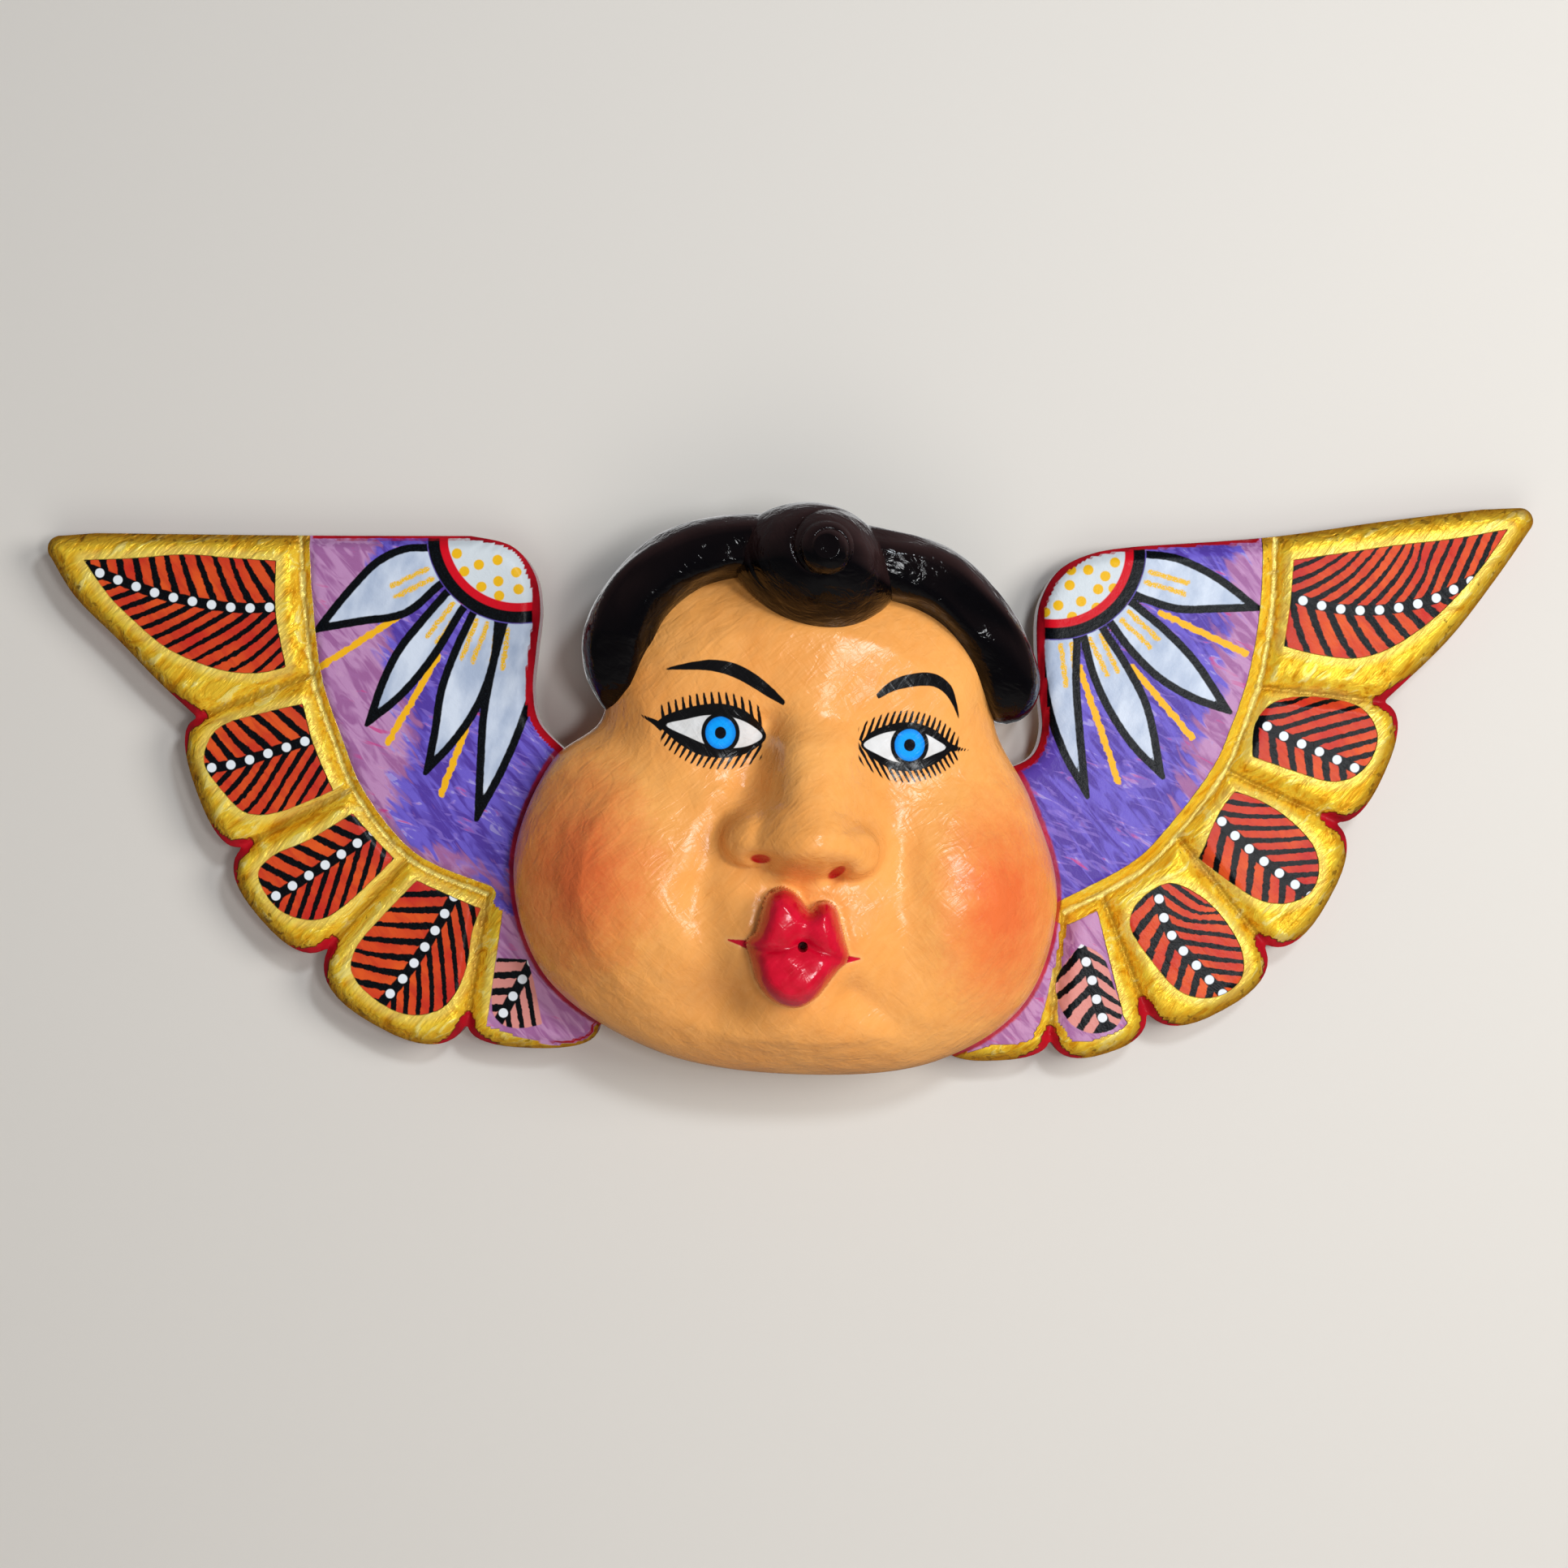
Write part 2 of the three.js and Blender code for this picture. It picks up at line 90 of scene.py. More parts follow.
def inside(spots, loop, reach=12.0):
    """How far each spot lies inside a closed outline, negative outside; -reach when far off."""
    found = np.full(len(spots), -reach)
    near = np.all((spots > loop.min(0) - reach) & (spots < loop.max(0) + reach), axis=1)
    at = spots[near]
    best = np.full(len(at), 1e9)
    within = np.zeros(len(at), bool)
    for p, q in zip(loop, np.roll(loop, -1, 0)):
        e, w = q - p, at - p
        t = np.clip((w @ e) / max(e @ e, 1e-9), 0, 1)
        best = np.minimum(best, np.hypot(w[:, 0] - t * e[0], w[:, 1] - t * e[1]))
        span = (p[1] > at[:, 1]) != (q[1] > at[:, 1])
        rise = q[1] - p[1] if abs(q[1] - p[1]) > 1e-9 else 1e-9
        within ^= span & (at[:, 0] < (q[0] - p[0]) * (at[:, 1] - p[1]) / rise + p[0])
    found[near] = np.maximum(np.where(within, best, -best), -reach)
    return found


def inside_any(spots, loops, reach=12.0):
    return np.max([inside(spots, loop, reach) for loop in loops], 0)


def to_nearest(spots, points):
    """How far each spot is from the nearest of the points."""
    return np.min([np.hypot(*(spots - np.array(point)).T) for point in points], 0)


def beside(spots, line, beyond=True):
    """Distance from a line, signed by its side, and the length along it, also beyond its ends."""
    along = lengths(line)
    best = np.full(len(spots), 1e9)
    side = np.ones(len(spots))
    run = np.zeros(len(spots))
    for i, (p, q) in enumerate(zip(line[:-1], line[1:])):
        e, w = q - p, spots - p
        length = max(np.hypot(*e), 1e-9)
        t = (w @ e) / length**2
        t = np.clip(t, -1e3 if beyond and i == 0 else 0, 1e3 if beyond and i == len(line) - 2 else 1)
        away = np.hypot(w[:, 0] - t * e[0], w[:, 1] - t * e[1])
        closer = away < best
        best = np.where(closer, away, best)
        side = np.where(closer, np.sign(e[0] * w[:, 1] - e[1] * w[:, 0]), side)
        run = np.where(closer, along[i] + t * length, run)
    return best * side, run


def stroke(line, widths):
    """The outline of a brush stroke along a line, with its half-widths from end to end."""
    line = centripetal(line, steps=8)
    half = np.interp(np.linspace(0, 1, len(line)), np.linspace(0, 1, len(widths)), widths)[:, None]
    way = np.gradient(line, axis=0)
    way /= np.hypot(*way.T)[:, None]
    out = np.stack([-way[:, 1], way[:, 0]], 1) * half
    return np.vstack([line + out, (line - out)[::-1]])


# Handling of pieces
def only(piece):
    if bpy.context.object and bpy.context.object.mode != "OBJECT":
        bpy.ops.object.mode_set(mode="OBJECT")
    bpy.ops.object.select_all(action="DESELECT")
    piece.select_set(True)
    bpy.context.view_layer.objects.active = piece


def added(name):
    piece = bpy.context.object
    piece.name = piece.data.name = name
    return piece


def spots_of(piece):
    flat = np.empty(3 * len(piece.data.vertices))
    piece.data.vertices.foreach_get("co", flat)
    return flat.reshape(-1, 3) / MM * np.array([1, -1, 1])


def place_spots(piece, spots):
    piece.data.vertices.foreach_set("co", (np.asarray(spots) * MM * np.array([1, -1, 1])).ravel())
    piece.data.update()


def tidy_faces(piece):
    only(piece)
    bpy.ops.object.mode_set(mode="EDIT")
    bpy.ops.mesh.select_all(action="SELECT")
    bpy.ops.mesh.remove_doubles(threshold=1e-6)
    bpy.ops.mesh.normals_make_consistent(inside=False)
    bpy.ops.object.mode_set(mode="OBJECT")


def finish_with(piece, kind, **settings):
    only(piece)
    step = piece.modifiers.new(kind, kind)
    for name, value in settings.items():
        setattr(step, name, value)
    bpy.ops.object.modifier_apply(modifier=step.name)


def joined(piece, other, how):
    finish_with(piece, "BOOLEAN", object=other, operation=how, solver="MANIFOLD", material_mode="TRANSFER")
    bpy.data.objects.remove(other)


def ball_net(name, around, rows, place):
    """A ball whose net is pulled into shape; turn and down run 0 to 1, down from pole to pole."""
    bpy.ops.object.select_all(action="DESELECT")
    bpy.ops.mesh.primitive_uv_sphere_add(segments=around, ring_count=rows, radius=1)
    piece = added(name)
    ball = spots_of(piece) * MM * np.array([1, -1, 1])
    turn = np.arctan2(ball[:, 1], ball[:, 0]) / (2 * math.pi) % 1
    down = np.arccos(np.clip(ball[:, 2], -1, 1)) / math.pi
    place_spots(piece, np.stack(place(turn, down), 1))
    tidy_faces(piece)
    return piece


def cover(piece, material):
    """One paint all over the piece."""
    piece.data.materials.clear()
    piece.data.materials.append(material)
    piece.data.polygons.foreach_set("material_index", np.zeros(len(piece.data.polygons), np.int32))


def note(piece, **values):
    """Keeps values for each point of the piece, for its paint to read by name."""
    for name, known in values.items():
        held = piece.data.attributes.new(name, "FLOAT", "POINT").data
        held.foreach_set("value", np.asarray(known, np.float32))


# The head
RIM_DEPTH = 27
FACE_DEPTH = 62
BACK_SCALE = 0.93
POLE = np.array([6, -114])
WALL = 14
HOLLOW_TOP = -18
FRONT = 0.88
FOREMOST, LOWEST = 89.9, -170.9
FACE_OUTLINE = [
    (10, -171), (58, -165.5), (90, -144), (102, -105), (92, -68), (79, -42), (76, -6), (50, 20),
    (5, 29), (-45, 20), (-66, -8), (-68, -38), (-86, -53), (-101, -92), (-90, -133), (-48, -162),
]
HAIR_ROLL = [
    (-65, -37, 2, 40), (-62.6, -25, 10.8, 52), (-60.5, -8, 13.9, 60), (-53.2, 6.3, 13.2, 63),
    (-41, 17.6, 12.7, 65), (-24.5, 24, 12, 66), (10, 24.8, 11.3, 66), (39.5, 17.4, 13.3, 65),
    (56.3, 12, 13.3, 62), (69.1, 1.2, 12.8, 57), (77.9, -11.4, 12.8, 53), (82.8, -25.2, 12.8, 49),
    (83.6, -40, 9, 44),
]
LIPS = [
    (-13.9, -119.5), (-10.4, -115.7), (-8.4, -109.4), (-6.4, -103), (-3.5, -100.7), (0, -99.8),
    (3.8, -101.6), (6.9, -105), (9.3, -107.6), (11.6, -105.3), (15.3, -104.7), (18.5, -106.8), (20.3, -112.3),
    (22, -119.2), (23.4, -124.6), (22.6, -126.7), (19.7, -129.3), (15.6, -134.8), (11, -140),
    (5.5, -142.9), (-0.3, -142.4), (-6.1, -138.9), (-10.1, -133.1), (-11.6, -127.3), (-13.2, -122),
]
MOUTH_LINE = [(-13.9, -120.6), (-7.5, -121.5), (1.2, -121.2), (6.9, -119.5), (12.7, -122.1), (23.0, -125.6)]
LIP_CORNERS = [[(-12, -120.6), (-20.5, -118.7)], [(21.5, -125.7), (27.6, -125.6)]]

outline = centripetal(FACE_OUTLINE, closed=True)
outline = np.vstack([outline, outline[:1]])
outline_run = lengths(outline) / lengths(outline)[-1]
lips = centripetal(LIPS, closed=True, steps=4)
mouth = centripetal(MOUTH_LINE, steps=8)


def outline_at(turn):
    return np.stack([np.interp(turn, outline_run, outline[:, k]) for k in (0, 1)], 1)


polar = outline[:-1] - POLE
polar_angle = np.arctan2(polar[:, 1], polar[:, 0])
by_angle = np.argsort(polar_angle)


def share_of(x, z):
    """0 at the mouth and 1 on the head's outline."""
    reach = np.interp(
        np.arctan2(z - POLE[1], x - POLE[0]), polar_angle[by_angle], np.hypot(*polar.T)[by_angle],
        period=2 * math.pi,
    )
    return np.hypot(x - POLE[0], z - POLE[1]) / reach


def hill(x, z, at, size, height, turn=0.0):
    u, v = turned(x, z, at, turn)
    return height * np.exp(-0.5 * ((u / size[0]) ** 2 + (v / size[1]) ** 2))


def turned(x, z, at, turn):
    dx, dz = x - at[0], z - at[1]
    return dx * math.cos(turn) + dz * math.sin(turn), dz * math.cos(turn) - dx * math.sin(turn)


def ridge(x, z, a, b, widths, heights):
    dx, dz = b[0] - a[0], b[1] - a[1]
    share = np.clip(((x - a[0]) * dx + (z - a[1]) * dz) / (dx * dx + dz * dz), 0, 1)
    away = np.hypot(x - a[0] - share * dx, z - a[1] - share * dz)
    width = widths[0] + (widths[1] - widths[0]) * share
    return (heights[0] + (heights[1] - heights[0]) * share) * np.exp(-0.5 * (away / width) ** 2)


def over(low, high, blend):
    """The higher of two surfaces, run together over a short blend."""
    share = np.clip(0.5 + 0.5 * (high - low) / blend, 0, 1)
    return low + (high - low) * share + blend * share * (1 - share)


def dome(x, z, at, size, top, half, turn=0.0, full=2.0):
    u, v = turned(x, z, at, turn)
    q = (np.abs(u / size[0]) ** full + np.abs(v / size[1]) ** full) ** (1 / full)
    return top - half * (1 - np.sqrt(np.clip(1 - q**2, 0, 1))) - 30 * np.clip(q - 1, 0, None)


# Each hill's middle, reach and height: cheeks, brow, eyes, mouth, chin, lids and the groove over the lips
HILLS = [
    ((-62, -98), (26, 27), 11), ((72, -104), (24, 25), 10), ((5, -8), (48, 26), 9),
    ((-21, -50), (17, 10), -5), ((43, -53), (16, 10), -5), ((6, -121), (25, 22), 10),
    ((-26, -143), (10, 8), -4), ((30, -140), (10, 8), -3), ((5, -154), (30, 9), 4),
    ((-24, -44), (14, 6), 1.8), ((46, -48), (13, 6), 1.8), ((6, -101), (3.2, 5), -2),
]
# Each fold's start, end, widths and heights, from the brow down to the chin
FOLDS = [
    ((12, -30), (11, -60), (9, 12), (2, 5)), ((-5, -42), (-10, -64), (4.5, 6), (-6, -7)),
    ((33, -50), (36, -76), (7, 8), (-1.4, -2.2)), ((-24, -76), (-31, -102), (3.5, 5), (-1.6, -2)),
    ((-31, -102), (-22, -138), (5.5, 6), (-2, -2.6)), ((25, -138), (42, -151), (3.2, 3.6), (-2, -1.2)),
    ((43, -90), (44, -124), (5, 8), (-3, -3)),
]
NOSE_DOMES = [
    (((6.4, -83.2), (26, 12.4), 76, 12, -0.13, 2.4), 5), (((-11.4, -82.8), (11, 9.6), 75.5, 9, 0.1), 6),
    (((25.2, -87.4), (9.4, 9), 77.5, 9, 0.1), 4.5),
]
NOSE_CREASES = [
    ((24.5, -77), (32, -88), (2, 2), (-1.6, -1.8)), ((-7.5, -73), (-9.5, -82), (2.6, 2.2), (-1.8, -1.4)),
]
NOSTRIL_HOLES = [((-8.2, -90), (3.6, 1.9), -6, -0.2), ((19.2, -94.6), (3.2, 1.9), -6, 0.5)]


def face_depth(x, z):
    share = share_of(x, z)
    fade = np.clip(4 * (1 - share), 0, 1)
    plain = RIM_DEPTH + (FACE_DEPTH - RIM_DEPTH) * np.sqrt(np.clip(1 - share**2.3, 0, 1)) ** 0.85
    relief = sum(hill(x, z, *form) for form in HILLS) + sum(ridge(x, z, *form) for form in FOLDS)
    depth = plain + relief * fade
    fall = np.clip((-36 - z) / 45, 0, 1)
    aside = x - 11 + 1.5 * fall
    width = np.where(aside < 0, 9.2 + 3.2 * fall, 10.8 + 3 * fall)
    under = np.clip(-84.5 - z, 0, None) / 7.2
    bridge = np.exp(-0.5 * np.hypot(aside / width, under) ** 2.3)
    begun = np.clip((-34 - z) / 16, 0, 1)
    bridge *= begun**2 * (3 - 2 * begun)
    for form, blend in NOSE_DOMES:
        depth = over(depth, dome(x, z, *form), blend)
    depth += (np.maximum(67 + 22.5 * fall**1.1, depth) - depth) * bridge
    depth += sum(ridge(x, z, *form) for form in NOSE_CREASES)
    depth += sum(hill(x, z, *form) for form in NOSTRIL_HOLES)
    return np.minimum(lips_on(x, z, depth), FOREMOST)


def lips_on(x, z, depth):
    """The pursed lips: a full pillow inside their outline, parted by the mouth's line."""
    spots = np.stack([x, z], 1)
    edge = inside(spots, lips)
    away, _ = beside(spots, mouth, False)
    swell = np.sqrt(np.clip(1 - (1 - np.clip(edge / 6.5, 0, 1)) ** 2, 0, 1))
    left = dome(x, z, (-1.6, -110.8), (15, 15), 87.8, 9)
    right = dome(x, z, (15, -112.8), (12.5, 14.5), 87.2, 8)
    lower = dome(x, z, (4.4, -131), (22, 16.5), 88.8, 10)
    full = over(over(left, right, 2.2), lower, 2)
    raised = 73.5 + (np.maximum(full, 78) - 73.5) * swell - 1.3 * np.exp(-0.5 * (away / 1.1) ** 2)
    raised -= hill(x, z, (6.8, -121), (3.2, 3.6), 1.6)
    dent = 0.5 * np.exp(-0.5 * ((edge + 1.2) / 1.3) ** 2)
    return np.where(edge > 0, np.maximum(raised, depth + 1.5 * swell), depth - dent * np.clip(edge + 8, 0, 1))


def face_net(turn, down):
    edge = outline_at(turn)
    share = np.sin(np.clip(down / FRONT, 0, 1) * math.pi / 2) ** 1.15
    behind = np.clip((down - FRONT) / (1 - FRONT), 0, 1)
    stages = [0, 0.25, 0.45, 0.6, 1]
    share = np.where(behind > 0, np.interp(behind, stages, [1, 0.992, 0.972, BACK_SCALE, 0]), share)
    x, z = (POLE + (edge - POLE) * share[:, None]).T
    z = np.maximum(z, LOWEST)
    wall = np.interp(behind, stages, [RIM_DEPTH, 16, 6, 0, 0])
    return x, np.where(behind > 0, wall, face_depth(x, z)), z


def grown_face(turn, down, grow=0.4):
    """The head a little larger all round, and through the wall behind, to cut the wings' room with."""
    x, depth, z = face_net(turn, down)
    away = np.stack([x, z], 1) - POLE
    reach = np.hypot(*away.T)
    away *= (1 + grow / np.maximum(reach, 1))[:, None]
    x, z = (POLE + away).T
    return x, np.interp(depth, [0, 6, RIM_DEPTH, 100], [-1, 5, RIM_DEPTH + grow, 100 + grow]), z


hair_line = centripetal([(x, z) for x, z, _, _ in HAIR_ROLL])
hair_size = centripetal([(w, d) for _, _, w, d in HAIR_ROLL])


def along_hair(values, share):
    spot = np.linspace(0, 1, len(values))
    return np.stack([np.interp(share, spot, values[:, k]) for k in (0, 1)], 1)


def hair_net(turn, down, grow=0.0, carved=1.0):
    angle = 2 * math.pi * turn
    middle = along_hair(hair_line, down)
    way = along_hair(np.gradient(hair_line, axis=0), down)
    way /= np.hypot(*way.T)[:, None]
    width, depth = along_hair(hair_size, down).T
    ends = np.sqrt(np.clip(1 - (2 * down - 1) ** 24, 0, 1))
    side, front = np.cos(angle), np.sin(angle)
    swirl = 1.6 * np.sin(9 * down) + 0.7 * np.sin(31 * down)
    gouges = carved * np.sin(7 * angle + swirl) * (0.65 + 0.45 * np.sin(23 * down + 2 * angle))
    reach = (width + grow + 0.4 * gouges) * ends * np.sign(side) * np.abs(side) ** 0.65
    x, z = middle[:, 0] - way[:, 1] * reach, middle[:, 1] + way[:, 0] * reach
    half = np.where(front > 0, depth / 2 + grow + gouges, depth / 2 + (1.0 if grow else 0.0))
    return x, depth / 2 + half * ends * np.sign(front) * np.abs(front) ** 0.65, z


CURL_OUTLINE = [
    (39.3, 16.2), (35.8, 25.6), (29.3, 33.3), (20.4, 38.4), (11.5, 40.4), (2.7, 40.1), (-6.2, 37.5),
    (-13.6, 32.4), (-17.5, 25.1), (-18, 15.9), (-13.6, 8.8), (-6.2, 1.4), (2.7, -3.9), (13, -6.6),
    (23.4, -6), (33.7, -0.7), (40.2, 6.4),
]
CURL_APEX = np.array([15.2, 21.8])
FIRST_WHORL, WHORL_GROWTH = 7.8, 2.35

curl_edge = centripetal(CURL_OUTLINE, closed=True, steps=8) - CURL_APEX
curl_angle = np.arctan2(curl_edge[:, 1], curl_edge[:, 0])


def curl_net(turn, down):
    """A snail of hair: a dome whose groove winds inwards and forwards to a round boss."""
    angle = 2 * math.pi * turn
    share = np.interp(down, [0, 0.8, 0.86, 0.92, 1], [0, 1, 1, 0.9, 0])
    order = np.argsort(curl_angle)
    edge = np.interp(angle, curl_angle[order], np.hypot(*curl_edge[order].T), period=2 * math.pi)
    reach = share * (21 + (edge - 21) * share)
    whorl = (np.log(np.maximum(reach, 0.5) / FIRST_WHORL) / math.log(WHORL_GROWTH) + turn) % 1
    grooved = np.interp(reach, [4.5, 7.5], [0, 1]) * np.interp(share, [0.82, 0.97], [1, 0])
    swell = np.sqrt(1 - 0.97 * (2 * whorl - 1) ** 2) - 1
    boss = 4.2 * np.sqrt(np.clip(1 - (reach / 9.6) ** 2, 0, 1))
    turned_up = 0.55 + 0.45 * np.cos(angle - 2.2)
    depth = 54 + 32.6 * (1 - share**2.4) ** 0.64 + 3.6 * swell * grooved * turned_up + boss
    side = np.interp(down, [0.8, 0.86, 0.92, 1], [1, 0.6, 0.38, 0.38])
    x, z = CURL_APEX[0] + reach * np.cos(angle), CURL_APEX[1] + reach * np.sin(angle)
    return x, np.where(down > 0.8, depth * side, np.minimum(depth, FOREMOST - 0.1)), z


def hollow_net(turn, down):
    edge = outline_at(turn)
    share = np.sin(np.clip(down / 0.8, 0, 1) * math.pi / 2)
    flat = down > 0.8
    inner = BACK_SCALE * (1 - WALL / 95) * np.where(flat, np.clip((1 - down) / 0.2, 0, 1), share)
    x, z = (POLE + (edge - POLE) * inner[:, None]).T
    z = np.minimum(z, HOLLOW_TOP)
    depth = (FACE_DEPTH - WALL) * np.sqrt(np.clip(1 - share**2.3, 0, 1)) + hill(x, z, POLE, (30, 30), 4)
    return x, np.where(flat, -4.0, np.maximum(depth, 6) * (down < 0.79)), z


EYE_WHITES = [
    [(-43.2, -40.9), (-35.8, -38.9), (-27.8, -37.4), (-19.5, -38), (-12.1, -40.9), (-7.7, -45.1),
     (-12.1, -48.3), (-18.6, -49.5), (-26.9, -48.6), (-34.9, -45.4)],
    [(28.7, -48.3), (34.6, -44.5), (42, -43), (49.9, -43.6), (55.9, -46.5), (59.4, -49.2),
     (54.4, -51.9), (47.9, -54.5), (40.8, -54.5), (34.3, -51.9)],
]
EYE_LINERS = [
    [(-46.6, -40.9), (-44.6, -38.3), (-37.2, -35.3), (-29, -33.5), (-21, -33.5), (-13.6, -36.2),
     (-8.3, -41.2), (-6.5, -45.4), (-9.5, -48.9), (-15.1, -51.9), (-22.5, -53), (-30.7, -51.9),
     (-38.4, -47.7), (-44.6, -42.4)],
    [(27.8, -48.3), (31.3, -43.9), (38.1, -40.9), (46.1, -40), (54.4, -42.4), (60.3, -47.1),
     (62.2, -49.2), (60.9, -50.7), (55.9, -54.8), (48.5, -57.5), (40.8, -57.5), (33.7, -54.2), (29.3, -50.4)],
]
EYE_TIPS = [[(-44.0, -42.0), (-48.0, -39.5), (-52.6, -37.2)], [(60.0, -49.0), (63.5, -49.6), (67.9, -50.1)]]
IRISES = [(-23.1, -43.9), (45.8, -48.3)]
BROWS = [
    ([(-43.4, -20.6), (-35, -19.7), (-26.2, -19.4), (-18.4, -21.1), (-11.5, -24.7), (-4.7, -29.6),
      (0.2, -33.4)], [0.3, 1.3, 2.1, 2.5, 2.4, 1.8, 0.8]),
    ([(33.8, -30.9), (38.8, -27.3), (43.7, -25.4), (51.6, -24.3), (56, -25.1), (59.7, -27.9), (62.3, -32.9),
      (64, -38.5)], [0.9, 1.8, 2.3, 2.5, 2.3, 1.9, 0.9, 0.25]),
]
EYE_LASHES = [(-26.5, -43.5, 2.7, (-0.15, 0.6)), (45.5, -48.5, 2.25, (0.35, -0.55))]
NOSTRILS = [(-8.4, -89.4, -0.05), (19.0, -94.3, 0.6)]
BLUSHES = [(-74, -93, 24, 31), (80, -107, 20, 35)]


def finer(piece, regions):
    """Splits the faces in the regions, so that small forms and painted edges stay crisp there."""
    only(piece)
    centres = np.empty(3 * len(piece.data.polygons))
    piece.data.polygons.foreach_get("center", centres)
    x, y, z = centres.reshape(-1, 3).T / MM
    chosen = np.zeros(len(x), bool)
    for (cx, cz), (rx, rz) in regions:
        chosen |= (((x - cx) / rx) ** 2 + ((z - cz) / rz) ** 2 < 1) & (y < -40)
    bpy.ops.object.mode_set(mode="EDIT")
    bpy.ops.mesh.select_all(action="DESELECT")
    bpy.ops.object.mode_set(mode="OBJECT")
    piece.data.polygons.foreach_set("select", chosen)
    bpy.ops.object.mode_set(mode="EDIT")
    bpy.ops.mesh.select_mode(type="FACE")
    bpy.ops.mesh.subdivide(number_cuts=1)
    bpy.ops.mesh.select_mode(type="VERT")
    bpy.ops.object.mode_set(mode="OBJECT")
    spots = spots_of(piece)
    front = (spots[:, 1] > 40) & (share_of(spots[:, 0], spots[:, 2]) < 0.97)
    spots[front, 1] = face_depth(spots[front, 0], spots[front, 2])
    place_spots(piece, spots)


def carve_head(skin, hair, wood):
    head = ball_net("carved_head", 224, 132, face_net)
    finer(head, [((-27, -42), (34, 17)), ((48, -46), (26, 18)), ((6, -103), (34, 44)), ((-24, -22), (27, 12)),
                 ((50, -28), (22, 14))])
    head.data.materials.append(skin)
    roll = ball_net("hair_roll", 44, 300, hair_net)
    curl = ball_net("curl", 168, 120, curl_net)
    for part in (roll, curl):
        part.data.materials.append(hair)
        joined(head, part, "UNION")
    hollow = ball_net("hollow", 96, 40, hollow_net)
    hollow.data.materials.append(wood)
    joined(head, hollow, "DIFFERENCE")
    bpy.ops.object.select_all(action="DESELECT")
    bpy.ops.mesh.primitive_cone_add(
        vertices=24, radius1=0.9 * MM, radius2=2.1 * MM, depth=14 * MM, rotation=(math.radians(90), 0, 0),
        location=(6.7 * MM, -80 * MM, -120.4 * MM),
    )
    hole = added("mouth_hole")
    bpy.ops.object.transform_apply(location=True, rotation=True, scale=True)
    hole.data.materials.append(skin)
    joined(head, hole, "DIFFERENCE")
    return head


def paint_notes_head(head):
    spots = spots_of(head)
    at = spots[:, [0, 2]]
    corners = [stroke(line, [1.7, 0.25]) for line in LIP_CORNERS]
    tips = [stroke(line, [1.6, 0.9, 0.2]) for line in EYE_TIPS]
    whites = [centripetal(loop, closed=True, steps=5) for loop in EYE_WHITES]
    liners = [centripetal(loop, closed=True, steps=5) for loop in EYE_LINERS]
    ways = np.empty(3 * len(head.data.vertices))
    head.data.vertices.foreach_get("normal", ways)
    _, inward, upward = ways.reshape(-1, 3).T
    note(
        head, lips=np.where(spots[:, 1] > 30, inside_any(at, (lips, *corners)), -12),
        mouth=np.abs(beside(at, mouth, False)[0]), eye_white=inside_any(at, whites),
        eye_liner=inside_any(at, (*liners, *tips)), brow=inside_any(at, [stroke(*brow) for brow in BROWS]),
        lash_away=np.min([np.abs(inside(at, loop)) for loop in liners], 0), facing=-inward, upward=upward,
    )


# The wings
THICK, EDGE, VOXEL = 20, 4, 0.85
ARC_STEPS = 80
SHARP = math.radians(62)
VEIN_START, VEIN_LENGTH = 36.5, 15
